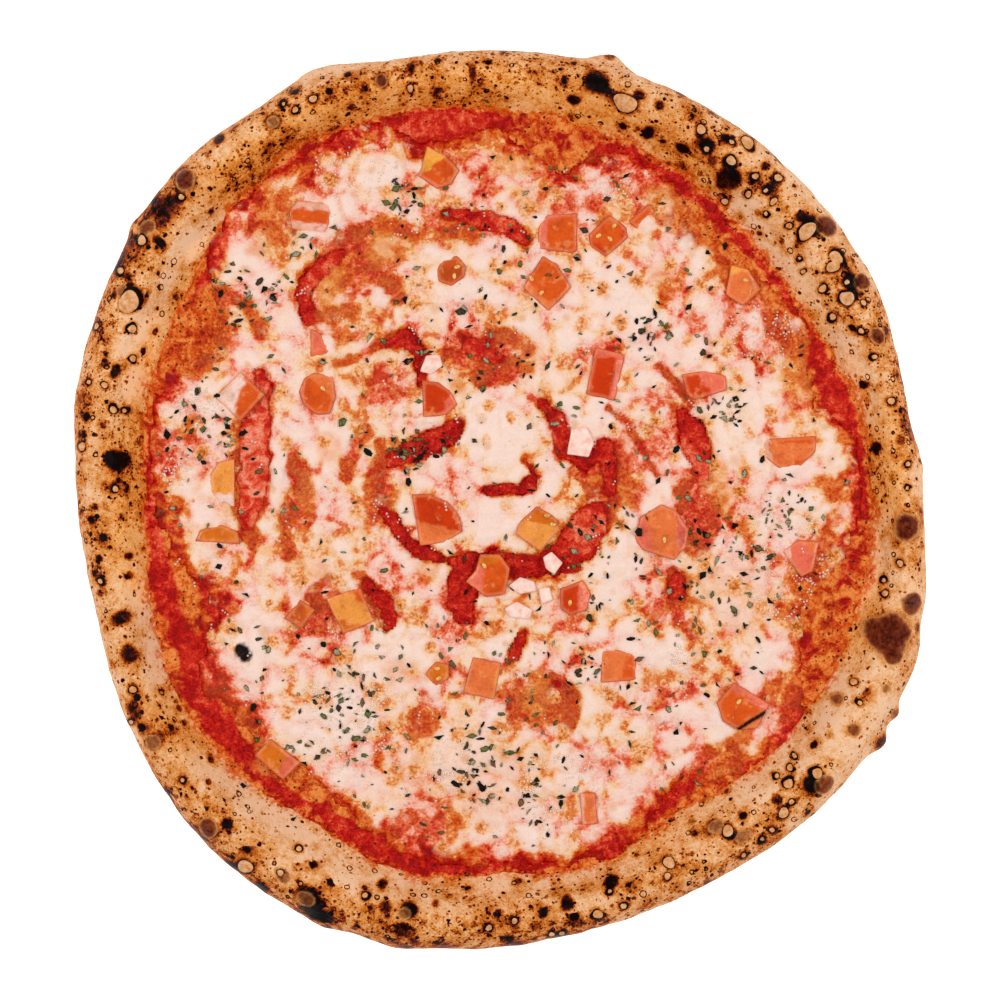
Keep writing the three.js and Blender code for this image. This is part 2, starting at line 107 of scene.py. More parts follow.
# Sub-steps of each stretch of the section, so that the part that shows has steps under a millimetre.
SECTION_STEPS = [4, 5, 5, 3, 3, 4, 2, 2, 3, 3, 3, 4, 4, 4, 5, 5, 4, 3, 3, 1]
CRUST_STEPS = 1180
OUTER_WALL = 1.97  # across the section, where the top side ends
TOP_EDGE = -0.001  # up the section, where the top side starts
BLISTERED_FROM = 0.3  # up the section, where blisters start
BLISTER_FOOT = 0.36  # a blister's foot lies 0.6 of its width from its middle, squared
SWELLING_REACH = 6  # a swelling fades out this far above and below its middle

# Swellings on top of the rim: angle, radius, width, rise.
TOP_BLISTERS = [
    (77, 148, 13, 1.8), (71.5, 145, 10, 1.2), (55, 138, 11, 1.6), (40.5, 145, 14, 1.8),
    (34, 143, 12, 1.6), (23.5, 143, 9, 1.0), (151.5, 145.5, 13, 1.4), (174, 134, 11, 1.6),
    (134.5, 155, 13, 1.8), (144, 153, 13, 1.4), (202.5, 139.5, 10, 1.4), (215, 145.5, 11, 1.4),
    (228.5, 152, 12, 1.6), (244, 152.5, 13, 1.8), (257.5, 146, 9, 1.2), (279.5, 142, 9, 1.0),
    (318, 148, 13, 1.8), (341, 142.5, 21, 3.2), (356.5, 141.5, 14, 2.2), (347, 147, 10, 1.4),
]
# Swellings of the rim's side: angle, width in degrees, push, height of the middle.
SIDE_BULGES = [
    (112.8, 5.4, 4.4, 6), (83, 9, 0.8, 4), (75.8, 2.4, 4.4, 4.5), (143, 1.6, 1.6, 9), (247, 2, 1.2, 8),
    (257, 1.8, 1.2, 8), (327.5, 1.8, 3.4, 8), (331.6, 1.3, 2.4, 9), (338.5, 4, 1.7, 9), (30, 1.8, 0.6, 7),
    (4.5, 2.6, 1.6, 8), (167, 4, 0.8, 8),
]

# ---- what the oven did to the rim ------------------------------------------------------------------------

# Char spots: angle, radius, width along the rim, width across it, darkness.
CHARS = [
    (77, 149, 10, 9, 0.85), (79.5, 142, 6, 3, 1), (71, 148.5, 5, 4, 0.9), (68, 138, 3.6, 4, 1),
    (68, 147.5, 4, 4, 0.7), (62.5, 138, 4.6, 2.6, 1), (63.5, 150, 9, 7, 0.35), (54.5, 137, 9.5, 8.5, 1),
    (55.8, 141, 6, 5, 0.9), (60, 142, 9, 6, 0.6), (54.6, 150, 5, 3.4, 0.85), (48.8, 143, 6, 7, 0.5),
    (58, 139, 4, 4, 0.7), (43.3, 143.5, 4, 5, 0.9), (41.2, 144.6, 9, 7, 0.95), (31.8, 143.8, 7.5, 6.5, 1),
    (30, 140.5, 4, 7, 0.9), (23.5, 143, 7, 5, 0.7), (8.5, 140.5, 4, 4, 0.6), (8, 133, 3.6, 3.6, 1),
    (17.5, 134, 3, 3, 0.8), (51.5, 148, 3.4, 3.4, 0.8), (93.7, 149, 3, 7, 0.6), (105.8, 151, 5.5, 6, 0.75),
    (101.7, 153, 4, 4, 0.6), (121, 153, 7, 6, 0.62), (128, 159.2, 5, 4, 0.7), (134.5, 156, 8.5, 9.5, 0.74),
    (142.2, 156, 5, 5, 0.75), (142.8, 148, 3, 5.5, 0.95), (139, 154, 14, 9, 0.4), (146, 155, 13, 8, 0.42),
    (149, 150.5, 3.4, 3.4, 0.8), (152, 151.5, 3.4, 2.6, 0.8), (161.5, 140.7, 5.5, 3.6, 1),
    (174, 134, 8.5, 9.5, 0.98), (181, 141, 2.6, 2.6, 0.9), (188.3, 141, 2.8, 2.8, 0.9),
    (193.2, 143, 2.8, 2.8, 0.8), (188.6, 131, 3, 3, 0.8), (191.5, 132, 3, 3, 0.8), (197.3, 138, 6, 9, 0.95),
    (202.5, 139.5, 7.5, 7, 0.78), (210, 146.5, 7, 6, 0.5), (215, 145.5, 7.5, 9, 0.65),
    (228.3, 152.5, 9.5, 8.5, 0.66), (229.8, 147, 4, 4, 0.95), (238.5, 158, 7, 4, 0.55),
    (244, 152.5, 9.5, 8.5, 0.82), (246, 157, 14, 6, 0.8), (253, 140, 3.8, 3.8, 0.9),
    (257.5, 145.5, 6.5, 6.5, 0.85), (257.5, 153, 9, 5, 0.55), (254.3, 146.5, 5, 5, 0.7),
    (261, 142, 2.8, 2.8, 0.8), (269.7, 143.5, 3, 3, 0.8), (279.5, 142, 5.5, 6, 0.98),
    (276, 144, 3.4, 3.4, 0.9), (286.3, 138.5, 5.5, 4.4, 0.95), (306, 144, 10.5, 6, 0.42),
    (303, 136, 8.5, 5.5, 0.5), (312.8, 141.5, 4.4, 4.4, 0.85), (318, 147.5, 9.5, 8.5, 0.66),
    (317.6, 146, 4.6, 7.5, 1), (327, 146, 5.5, 5.5, 0.62), (329.5, 136.5, 6, 5, 0.6),
    (324.6, 140.3, 3.4, 3.4, 0.6), (341, 142.5, 18.5, 18, 0.55), (356.2, 141.4, 11.5, 10.5, 0.5),
    (342, 141, 3, 3, 0.6), (327.5, 158, 7, 5, 0.6), (331.6, 157, 5, 4, 0.5), (5.3, 148.5, 2.6, 4, 0.9),
    (76, 160, 4, 4, 0.7),
]

# Blisters baked to an even purple-brown: angle, radius, width along the rim, width across it, strength.
BLISTERS = [
    (341, 142.5, 16.5, 16.5, 0.92), (345.8, 147, 9, 8, 0.92), (338.3, 146.5, 7, 7, 0.92),
    (356.2, 141.4, 11, 10, 0.92), (40, 148.2, 9.5, 8.5, 0.92), (31.2, 147.2, 7.5, 6, 0.9),
    (23.5, 143, 6.5, 5, 0.85), (134.5, 156, 8.5, 9, 0.85), (142.5, 155, 7, 6, 0.7),
    (318.6, 149.5, 8, 7, 0.75), (228.3, 152.5, 8, 7.5, 0.85), (306, 144, 8, 5, 0.5),
    (303.5, 136.3, 7, 5, 0.55), (327, 146, 5, 5, 0.72), (329.5, 136.5, 5, 4.4, 0.68),
    (105.8, 151, 5, 5.5, 0.8), (151, 150, 5, 4, 0.6), (331.6, 157, 4.5, 4, 0.6), (244, 154, 8, 6, 0.7),
    (240, 150.5, 7, 5.5, 0.65), (215, 147, 7, 6, 0.6), (121, 153, 5.5, 5, 0.6), (257, 147, 5, 5, 0.6),
    (334, 149, 4, 4, 0.6),
]

# Ring blisters, a thin skin with a charred outline: angle, radius, width along the rim, width across it.
RINGS = [
    (72.5, 144.5, 9, 6), (41.3, 141.3, 5, 8.5), (35.8, 144.5, 6, 5), (35, 141, 4, 5), (30.3, 139.5, 6, 5.4),
    (32, 142.5, 3, 3), (55.3, 151, 5.4, 4.4), (55.8, 142.4, 4.2, 3.8), (151.5, 145.5, 8.5, 8.5),
    (235.2, 155, 5.6, 5.4), (304.5, 139.7, 5, 4.2), (319.2, 144.3, 5, 4.2), (295, 139, 4.4, 4.2),
    (283.2, 148, 4.2, 4), (315.6, 140, 4.4, 4), (312.2, 146.5, 4.2, 4), (144, 153.5, 4.2, 4),
    (149, 154.4, 3.6, 3.6), (61.5, 146, 4, 3.4), (59.5, 141, 2.8, 2.6), (57.2, 148, 3, 2.8),
    (49.2, 147.7, 3.2, 3.2), (51.8, 142.7, 3, 3), (49.3, 141.8, 2.6, 2.8), (47.5, 140.5, 2.4, 3.4),
    (51, 137, 2.8, 2.8), (47, 136, 2.6, 2.4), (53, 131, 2.8, 2.4), (43.5, 138.5, 2.8, 2.8),
    (38.8, 134, 2.2, 2.2), (37, 132.5, 2, 2), (33.2, 134.5, 3.2, 3.4), (28.8, 132.2, 3.4, 3),
    (28.5, 143.7, 2.6, 2.4), (25, 138.5, 2.8, 2.6), (21, 139, 2.6, 3.2), (14.2, 140.3, 3, 2.8),
    (5, 142, 2.6, 2.6), (1.8, 141.3, 2.4, 2.4), (115, 153.5, 3.2, 3), (117.7, 152.7, 2.8, 2.8),
    (118.7, 157, 2.6, 2.4), (102.3, 146.5, 2.6, 2.6), (136.5, 152.5, 3, 2.8), (155, 141.2, 4, 3.6),
    (156.7, 153, 2.8, 2.6), (159, 137, 2.8, 2.8), (166.7, 138, 3.5, 3.3), (163.8, 142.7, 2.6, 2.6),
    (164, 148.7, 2.6, 2.4), (166.5, 134.3, 2.6, 2.6), (172.7, 146.5, 3.5, 3.2), (178.3, 134, 2.8, 2.8),
    (191.5, 141.5, 3, 2.8), (207.3, 143.5, 3, 3), (211, 150, 2.6, 2.6), (221.5, 146.5, 2.8, 2.6),
    (239.5, 150, 2.8, 2.8), (240, 140, 2.6, 2.6), (251.3, 145, 3, 3), (268.5, 148.5, 2.8, 2.6),
    (272, 146, 3, 2.8), (278.2, 153, 3.4, 2.8), (276.8, 152.5, 2.6, 2.6), (287, 147.5, 3, 3),
    (285.6, 141.5, 2.6, 2.4), (294, 143, 2.8, 2.8), (304.5, 150, 2.8, 2.6), (307.6, 149, 2.6, 2.8),
    (309.5, 148.5, 2.4, 2.4), (314, 145.7, 2.8, 2.6), (315, 136, 2.6, 2.6), (317.3, 137.3, 2.6, 2.4),
    (319, 136, 2.4, 2.4), (330.6, 142.7, 2.8, 2.8), (332.8, 138.3, 2.8, 2.6), (346.3, 137.8, 2.8, 2.8),
    (348.3, 136.5, 2.6, 2.4), (351, 140.5, 2.6, 2.6),
]

# Toasted and pale stretches of the rim: angle, radius, half-width in degrees, half-width in mm, strength.
TOASTED = [
    (78, 132, 8, 7, 0.2), (97, 143, 9, 7, 0.3), (112, 146, 10, 7, 0.35), (126, 140, 8, 8, 0.6),
    (172, 129, 4, 3, 0.8), (60, 133, 6, 4, 0.6), (162, 133, 7, 7, 0.2), (176, 130, 10, 8, 0.7),
    (190, 136, 9, 9, 0.4), (205, 140, 9, 7, 0.2), (218, 139, 8, 6, 0.3), (270, 138, 9, 4, 0.4),
    (290, 136, 8, 6, 0.5), (61, 137, 7, 4, 0.5), (50, 140, 8, 3, 0.7), (304, 138, 8, 6, 0.6),
    (338, 130, 5, 4, 0.6), (354, 131, 9, 6, 0.2), (4, 132, 8, 6, 0.5), (90, 148, 6, 4, 0.5),
    (18, 129, 6, 4, 0.2), (88, 150, 7, 5, 0.6), (150, 148, 8, 5, 0.8), (15, 143, 8, 5, 0.6),
    (45, 143, 9, 5, 0.6), (30, 137, 9, 5, 1.0), (92, 144, 9, 4, 0.5), (120, 140, 9, 5, 0.6),
    (315, 145, 9, 5, 0.8), (300, 146, 8, 5, 0.5), (60, 146, 8, 4, 0.6), (30, 144, 7, 3, 0.3),
    (270, 142, 8, 4, 0.5), (62, 152, 9, 6, 0.4), (77, 152, 8, 5, 0.4), (95, 154, 12, 4, 0.6),
    (108, 155, 10, 4, 0.5), (120, 157, 8, 5, 0.7), (137, 158, 9, 7, 1.0), (149, 156, 9, 9, 1.6),
    (164, 149, 9, 5, 0.8), (178, 147, 10, 4, 0.4), (225, 155, 8, 5, 1.5), (225, 148, 8, 5, 0.6),
    (255, 150, 8, 5, 0.6), (240, 159, 9, 6, 1.6), (254, 157, 10, 7, 1.0), (270, 153, 10, 7, 1.3),
    (286, 152, 10, 6, 0.9), (302, 151, 8, 4, 0.9), (275, 148, 9, 4, 0.5), (314, 148, 7, 6, 0.4),
    (13, 148, 9, 5, 1.3), (27, 149, 6, 4, 0.2), (142, 147, 6, 3, 0.7), (166, 139, 8, 4, 0.9),
    (172, 133, 8, 3, 0.6), (157, 148, 8, 3, 1.2), (187, 142, 8, 3, 0.8), (82, 147, 8, 3, 1.0),
    (97, 150, 9, 3, 0.8), (112, 153, 9, 4, 0.6), (127, 147, 8, 6, 0.8), (232, 144, 8, 3, 0.6),
    (247, 139, 8, 4, 0.4), (247, 155, 9, 4, 1.2), (262, 146, 8, 3, 0.6), (292, 142, 8, 3, 0.6),
    (350, 146, 9, 5, 0.3),
]
# Strength above 1 lightens the dough past its palest tone: painted light on the rim's inner slope, which the
# lamps leave in shade.
PALE_AND_PAINTED_LIGHT = [
    (30, 134, 9, 6, 0.6), (50, 132, 9, 8, 1.0), (157, 136, 10, 6, 1.5), (143, 140, 6, 4, 1.2),
    (136, 136, 7, 4, 1.2), (18, 132, 8, 5, 1.4), (228, 137, 9, 7, 0.8), (243, 139, 10, 8, 1.0),
    (258, 135, 9, 6, 0.9), (272, 134, 8, 5, 0.7), (298, 140, 9, 6, 0.5), (316, 138, 9, 7, 0.8),
    (330, 141, 9, 12, 1.1), (345, 131, 8, 6, 1.2), (2, 148, 7, 4, 0.8), (322, 154, 10, 5, 0.6),
    (105, 159, 13, 5, 0.9), (90, 158, 8, 3, 0.5), (40, 152, 14, 4, 1.0), (198, 131, 9, 7, 0.9),
    (211, 132, 8, 8, 0.6), (352, 131, 7, 6, 1.3), (164, 131, 8, 5, 0.9), (190, 130, 7, 6, 0.8),
    (120, 137, 5, 3, 0.3), (285, 135, 7, 4, 0.4), (308, 151, 12, 5, 0.7),
]
# Where golden oil ran from the sauce onto the dough.
RUNS = [
    (5, 134.5, 11, 8, 0.9), (66, 136, 12, 8, 0.8), (79, 139, 8, 7, 0.9), (95, 142, 12, 8, 0.9),
    (112, 145, 11, 8, 1.0), (126, 144, 10, 9, 1.0), (141, 136, 7, 5, 0.5), (154, 131, 12, 7, 0.8),
    (190, 131, 8, 7, 0.7), (175, 129, 11, 9, 1.0), (215, 137, 9, 7, 0.7), (341, 135, 8, 7, 0.8),
    (294, 131, 9, 5, 0.5), (262, 134, 8, 4, 0.4), (32, 129, 6, 4, 0.4),
]

# ---- cheese, sauce and what lies on them -----------------------------------------------------------------

# Pools of bare sauce: width and the [x, y] points of the stroke.
POOLS = [
    (3.4, [(-6, 3), (0, 4), (6, 3), (11, 5), (12, 9), (9, 14)]),
    (5.4, [(-21, 101), (-12, 100), (-5, 98), (3, 96), (9, 90)]),
    (5.4, [(-41, 55), (-32, 57), (-28, 52), (-28, 41)]),
    (8, [(-38, 14), (-30, 17), (-22, 21), (-15, 26)]),
    (5.6, [(15, 34), (20, 28), (23, 17), (29, 13), (37, 18), (39, 6), (38, -5)]),
    (12.5, [(35, -3), (30, -11), (24, -20), (13, -24)]),
    (11.5, [(13, -24), (2, -23), (-11, -25), (-14, -34), (-12, -41)]),
    (4.6, [(-42, -3), (-37, -8), (-33, -14), (-27, -19), (-12, -23)]),
    (9, [(64, 30), (67, 24), (70, 16), (71, 8)]),
    (5.4, [(-56, 87), (-65, 80), (-70, 72), (-67, 63)]),
    (5, [(-47, -29), (-39, -38), (-40, -47)]),
    (10, [(-84, 44), (-84.5, 32), (-86, 20), (-86.5, 8), (-88, -2), (-89, -9)]),
    (5, [(62, -26), (62, -35)]),
    (3.2, [(8, -46), (5, -55)]),
    (5, [(-13, 57), (-7, 52), (1, 49)]),
]

# Where the cheese is thin and stained by sauce and oil: x, y, half-widths, turn, strength.
THIN = [
    (-107, 60, 14, 18, 0, 0.75), (-114, -39, 9, 14, 0, 0.8), (30, 126, 17, 8, -10, 0.6),
    (112, -30, 12, 30, 0, 0.6), (75, -95, 18, 9, 35, 0.7), (-52, 84, 14, 17, 20, 0.6),
    (14, -70, 14, 12, 0, 0.75), (-27, -76, 8, 8, 0, 0.6), (-48, 62, 14, 8, 20, 0.45),
    (-5, 50, 16, 10, 0, 0.7), (45, 10, 10, 20, -20, 0.45), (70, -5, 9, 18, 10, 0.75),
    (-42, 3, 7, 16, 0, 0.65), (-70, 0, 5, 22, 5, 0.6), (-60, -40, 16, 10, 20, 0.55),
    (-88, 5, 8, 24, 0, 0.6), (50, 108, 12, 7, -35, 0.55), (85, 75, 14, 10, -50, 0.5),
    (20, 105, 18, 6, 0, 0.4), (-110, 22, 9, 12, 0, 0.35), (60, -65, 12, 8, 0, 0.35),
    (100, -70, 10, 12, 30, 0.5), (-95, -70, 10, 14, 30, 0.35), (-30, -115, 16, 7, 0, 0.4),
    (-18, 95, 14, 8, 0, 0.5), (62, 36, 16, 6, 10, 0.4), (95, 55, 8, 14, 0, 0.3), (-78, 98, 12, 10, 20, 0.4),
    (35, -90, 14, 8, 0, 0.3), (-10, -45, 14, 6, 0, 0.4), (-40, 40, 9, 12, 0, 0.35),
    (60, -40, 12, 12, 0, 0.3),
]
# Where the cheese is thick and pale.
THICK = [
    (0, 25, 15, 14, 0, 1.1), (-5, -8, 12, 8, 0, 0.9), (15, 8, 8, 8, 0, 0.6), (-10, 73, 16, 5, 0, 0.8),
    (28, 60, 8, 8, 0, 0.7), (43, -22, 8, 14, -10, 0.8), (-78, 12, 5, 14, 0, 0.8), (-107, 5, 7, 9, 0, 0.8),
    (-95, 62, 5, 6, 0, 0.8), (88, 35, 12, 8, 0, 0.7), (118, 18, 6, 9, 0, 0.8), (110, -5, 9, 8, 0, 0.6),
    (90, -54, 10, 8, 0, 0.8), (60, -55, 9, 7, 0, 0.6), (-50, -75, 14, 12, 0, 0.7), (-55, 65, 9, 6, 0, 0.6),
    (0, -50, 7, 6, 0, 1.0), (-10, -95, 18, 12, 0, 0.6), (20, -95, 16, 10, 0, 0.6),
    (-85, -60, 12, 10, 0, 0.5), (40, 70, 16, 12, 0, 0.6), (-58, 15, 7, 14, 0, 0.6), (-40, 75, 7, 7, 0, 0.6),
    (70, 90, 8, 6, 0, 0.4), (-88, 82, 8, 8, 0, 0.5), (-35, -50, 10, 10, 0, 0.5),
    (-60, -100, 14, 8, -40, 0.6), (-20, -20, 4, 4, 0, 0.2), (102, 68, 8, 10, 0, 0.5),
]
# Streaks of orange oil: width and the points of the stroke.
STREAKS = [
    (3.6, [(-58, 48), (-50, 50), (-42, 55), (-35, 58)]), (3.6, [(-42, 20), (-42, 10), (-42, 0), (-38, -5)]),
    (2.6, [(38, 32), (44, 27), (49, 20), (52, 14), (55, 9)]), (5.5, [(-74, -3), (-75, -12), (-74, -19)]),
    (7, [(-71, 12), (-69, 4)]), (5, [(-47, 24), (-51, 20), (-53, 14), (-54, 8)]),
    (4.5, [(-50, -26), (-45, -32), (-43, -40)]), (5, [(4, 44), (-2, 42), (-7, 42)]),
    (2.6, [(25, 10), (29, 7), (32, 2)]), (3, [(56, 47), (62, 41), (67, 33)]),
    (6, [(-66, 64), (-58, 65), (-52, 67)]), (6, [(-44, 79), (-38, 76), (-36, 71)]),
    (6, [(-55, 92), (-42, 96), (-34, 95)]), (4, [(96, 88), (104, 76), (110, 62)]),
    (5, [(-97, 72), (-88, 68), (-84, 60)]), (4, [(60, -25), (64, -34), (62, -42)]),
    (6, [(-4, 57), (4, 58), (10, 53)]), (4, [(-60, -28), (-66, -32), (-64, -38)]),
    (6, [(20, -64), (26, -70), (24, -78)]),
]
# Clear amber patches: x, y, half-widths, turn, strength.
AMBER = [
    (-60, 76, 6, 9, -20, 1), (13, -69, 8, 6, 0, 0.9), (74, 10, 6, 15, 20, 1.0), (-68, 3, 4, 8, 0, 0.7),
    (-50, -41, 6, 5, 0, 0.7), (-15, 40, 4, 4, 40, 0.9), (-25, -24, 5, 5, 0, 0.7), (-58, 66, 8, 4, 0, 0.6),
    (-40, 88, 9, 7, 0, 0.8), (-84, 88, 6, 4, 0, 0.7), (5, 118, 10, 5, 0, 0.9), (105, 45, 8, 14, 0, 0.7),
    (58, 104, 9, 6, -30, 0.7), (-100, 52, 8, 10, 0, 0.6), (10, 52, 8, 6, 0, 0.5), (58, 78, 6, 8, 0, 0.5),
    (-35, -60, 8, 6, 0, 0.5), (72, -28, 9, 8, 0, 0.5), (-8, -98, 38, 17, 0, 0.3), (86, -34, 14, 20, 0, 0.3),
    (-60, 18, 5, 8, 0, 0.6), (-66, -24, 8, 5, 0, 0.7),
]
# Pink patches.
ROSY = [
    (-20, 9, 10, 6, 0, 1), (45, 16, 8, 7, 0, 1), (-58, 22, 8, 5, 0, 0.9), (-60, -8, 7, 6, 0, 0.8),
    (-40, 82, 8, 5, 0, 0.8), (-72, 56, 6, 6, 0, 0.9), (-38, 40, 7, 6, 0, 0.7), (88, -22, 12, 9, 0, 0.8),
    (75, 62, 14, 6, 0, 0.9), (-3, 88, 8, 6, 0, 0.8), (-88, 98, 7, 5, 0, 0.9), (-110, 36, 8, 8, 0, 0.8),
    (-98, -58, 8, 8, 0, 0.9), (-28, -110, 13, 7, 0, 0.9), (65, -80, 12, 7, 20, 0.8),
    (30, 106, 12, 6, 0, 0.8), (-60, 108, 12, 9, 0, 0.8), (48, 60, 8, 8, 0, 0.7), (-103, 82, 6, 8, 0, 0.9),
    (108, -18, 9, 9, 0, 0.7), (22, -62, 6, 8, 0, 0.7), (-86, 40, 6, 6, 0, 0.7), (100, 60, 6, 9, 0, 0.6),
    (-45, -100, 10, 6, -30, 0.6), (20, 27, 7, 6, 0, 0.6),
]
# Where sauce and oil cooked down to an orange-brown crust with dark specks.
SCORCHED = [
    (-106, 58, 12, 19, -18, 1.0), (-114, -39, 9, 9, 0, 1.0), (112, -36, 8, 20, 12, 1.0),
    (100, 60, 7, 18, 28, 0.9), (84, 80, 8, 14, 45, 0.9), (66, 96, 7, 13, 58, 0.9),
    (28, 130, 15, 5, -12, 0.8), (-68, -100, 17, 6, -38, 0.9), (-90, -80, 7, 12, 35, 0.6),
    (80, -92, 14, 6, 42, 0.6), (-122, 20, 4, 8, 0, 0.5), (118, 50, 4, 14, 18, 0.7),
    (-50, -114, 12, 4, -22, 0.9), (-84, 98, 10, 6, 40, 0.6), (14, -70, 9, 8, 0, 0.35),
    (-62, 76, 7, 9, 0, 0.3),
]
# Where the ring of sauce stayed red: angle, radius, half-turn, half-width, strength.
RED = [
    (104, 134, 17, 9, 1.2), (73, 131, 12, 5, 0.8), (42, 125, 14, 4, 0.9), (20, 124, 9, 6, 1.3),
    (5, 126, 10, 6, 0.8), (58, 128, 9, 4, 0.8), (300, 120, 9, 8, 0.45), (306, 113, 6, 6, 0.4),
    (126, 136, 14, 6, 1.0), (143, 130, 8, 5, 0.7), (240, 127, 9, 5, 0.9), (252, 129, 8, 8, 1.2),
    (178, 123, 16, 5, 1.2), (196, 123, 7, 6, 1.1), (206, 120, 6, 6, 1.1), (218, 126, 10, 6, 1.2),
    (236, 131, 9, 5, 0.9), (265, 127, 19, 8, 1.3), (294, 116, 9, 8, 1.1), (310, 119, 8, 4, 0.6),
    (335, 120, 8, 3, 0.5), (133, 128, 9, 5, 1.0), (150, 121, 7, 5, 0.4), (350, 124, 6, 4, 0.5),
]
# Pink strings of cheese over the sauce by the rim: angle, radius, half-turn, half-width, strength.
STRINGS = [
    (104, 134, 15, 5, 0.5), (60, 122, 8, 4, 0.35), (150, 118, 8, 4, 0.5), (180, 120, 12, 4, 0.6),
    (212, 121, 10, 4, 0.5), (262, 122, 16, 4, 0.5), (287, 122, 6, 4, 0.7), (320, 122, 9, 6, 0.9),
    (8, 121, 10, 4, 0.6), (35, 118, 8, 3, 0.4),
]
# Pools under a pink veil: x, y, half-widths, turn, strength.
VEILED = [
    (31, -10, 9, 12, -30, 0.8), (-86, 16, 9, 42, 0, 1.0), (-20, 9, 10, 7, 0, 0.6), (24, 24, 9, 7, 0, 0.4),
    (69, 14, 8, 12, 20, 0.7), (0, 96, 16, 8, 0, 0.5), (-62, 76, 9, 10, 0, 0.5), (3, -56, 5, 7, 0, 0.5),
    (-8, 52, 12, 6, 0, 0.4),
]
# Golden-brown bumps: x, y, radius.
GOLDEN = [
    (-75, 20, 4), (-77, 37, 4), (-62, 20, 3.5), (-62, -18, 4.5), (-70, -27, 6), (-46, -16, 4),
    (-105, 17, 4), (-104, -23, 4), (-30, 69, 4.5), (-7, 68, 4), (-15, 104, 3.5), (10, 102, 4.5),
    (20, 107, 3.5), (0, 103, 3), (30, 78, 4), (36, 74, 4), (29, 62, 4.5), (42, 62, 4), (-4, 33, 3),
    (4, 29, 3), (16, 20, 2.5), (39, -15, 3), (-24, -52, 3.5), (-35, -36, 3.5), (40, 25, 3.5), (55, 28, 4),
    (95, 31, 3.5), (-43, -66, 4.5), (-15, -82, 4.5), (-13, -98, 4), (-37, -87, 4), (-38, -98, 4),
    (9, -99, 4), (-7, -115, 4), (36, -77, 4.5), (-20, -122, 4), (55, 104, 6), (64, 98, 6), (48, 77, 4),
    (60, 83, 4), (70, 75, 3.5), (66, 56, 3.5), (80, 52, 3.5), (-50, 45, 3.5), (-98, 50, 4), (-118, 50, 6),
    (-100, 78, 4), (-40, 108, 4), (-60, 112, 4), (75, 12, 4), (84, 3, 4), (72, -22, 5), (82, -30, 5),
    (92, -38, 4), (70, -45, 4), (50, -45, 3.5), (105, -45, 5), (118, -20, 5), (-30, -95, 4), (-55, -55, 5),
    (-80, -50, 4), (-95, -45, 4), (-62, -70, 5), (-75, -75, 4), (-50, 25, 4), (-50, -5, 4), (-57, -28, 4.5),
    (-28, -42, 4), (22, -82, 4), (50, -88, 4), (0, -80, 4.5), (25, -118, 4),
]
# Burnt spots in the cheese: x, y, radius, darkness.
BURNT = [(-90, -53.5, 3.4, 1), (-120, -4.5, 3.6, 0.5), (88, -77, 2, 1)]

# Dried herb flakes: middle, half-widths, count. The last is the sprinkle all over.
HERB_PATCHES = [
    (-33, 105, 7, 9, 26), (-89, 72, 13, 12, 46), (-70, 90, 7, 6, 12), (-102, 26, 14, 13, 42),
    (-28, 20, 12, 6, 34), (-32, 15, 5, 7, 10), (52, 58, 9, 6, 26), (80, 33, 8, 8, 26), (101, -3, 9, 9, 24),
    (78, -25, 15, 16, 50), (28, -60, 7, 6, 18), (-55, -76, 12, 18, 50), (-7, -93, 10, 17, 40),
    (15, -106, 8, 9, 20), (-68, -90, 6, 8, 10), (10, 60, 50, 40, 80), (-30, -70, 60, 40, 90),
    (60, -30, 50, 50, 80), (0, 0, 122, 122, 560),
]
# Flakes that fell on the rim: angle, radius.
RIM_HERBS = [
    (238, 135), (237, 133.5), (235.5, 132), (228, 135), (265, 132.5), (264, 134), (301, 131), (92, 140),
]
# Colours of a dried leaf at its middle and at its edge, and the share of such leaves.
# The lighter middle is a painted highlight and the dark edge a painted shade, over each leaf's own tone.
LEAVES = [
    ((0.008, 0.006, 0.004), (0.004, 0.003, 0.002), 0.3),
    ((0.07, 0.045, 0.022), (0.006, 0.004, 0.003), 0.16),
    ((0.16, 0.17, 0.045), (0.012, 0.012, 0.004), 0.2),
    ((0.4, 0.35, 0.2), (0.03, 0.025, 0.012), 0.18),
    ((0.24, 0.11, 0.04), (0.012, 0.006, 0.003), 0.14),
]
LEAF_SHAPES = 28
LEAF_LENGTHS = (1.1, 1.6, 2.1, 2.6, 3.1, 3.7)
LEAF_WIDTHS = (0.32, 0.42, 0.52, 0.65)  # as a share of the length
LEAF_THICKNESS = (0.25, 0.45)
# Froth: tiny beads of fat and whey, near white so that they also serve as painted glints: middle,
# half-widths, count.
FROTH_AND_GLINT_PATCHES = [
    (-54, -78, 17, 19, 130), (-17, -93, 10, 10, 60), (20, -102, 14, 15, 80), (66, -55, 7, 7, 30),
    (100, -22, 16, 20, 90), (92, 57, 13, 12, 55), (-48, 115, 18, 12, 60), (39, 110, 8, 5, 26),
    (-109, 33, 10, 8, 36), (-114, 10, 6, 7, 24), (0, 0, 118, 118, 260),
]
BEAD_STEP = 1.15  # from bead to bead in a row
BEAD_RADIUS = (0.3, 0.48)
BEAD_FLATNESS = 0.8

STAYS_ON_TOMATO = 0.12  # share of what was strewn that didn't slide off the tomato
MOST_TRIES = 20  # for each thing that is strewn
STREWN_LIFT = 0.1  # how far a flake or bead lies above what it fell on

# Tones of tomato flesh, skin and gel, and of the film of cheese on some pieces.
FLESH = {
    "red": (211, 58, 2), "orange": (225, 88, 20), "salmon": (237, 120, 62), "pink": (239, 112, 86),
    "amber": (244, 156, 70), "yellow": (248, 172, 66), "gel": (221, 112, 18), "brown": (205, 84, 28),
    "film": (246, 186, 164), "cream": (247, 212, 198),
}
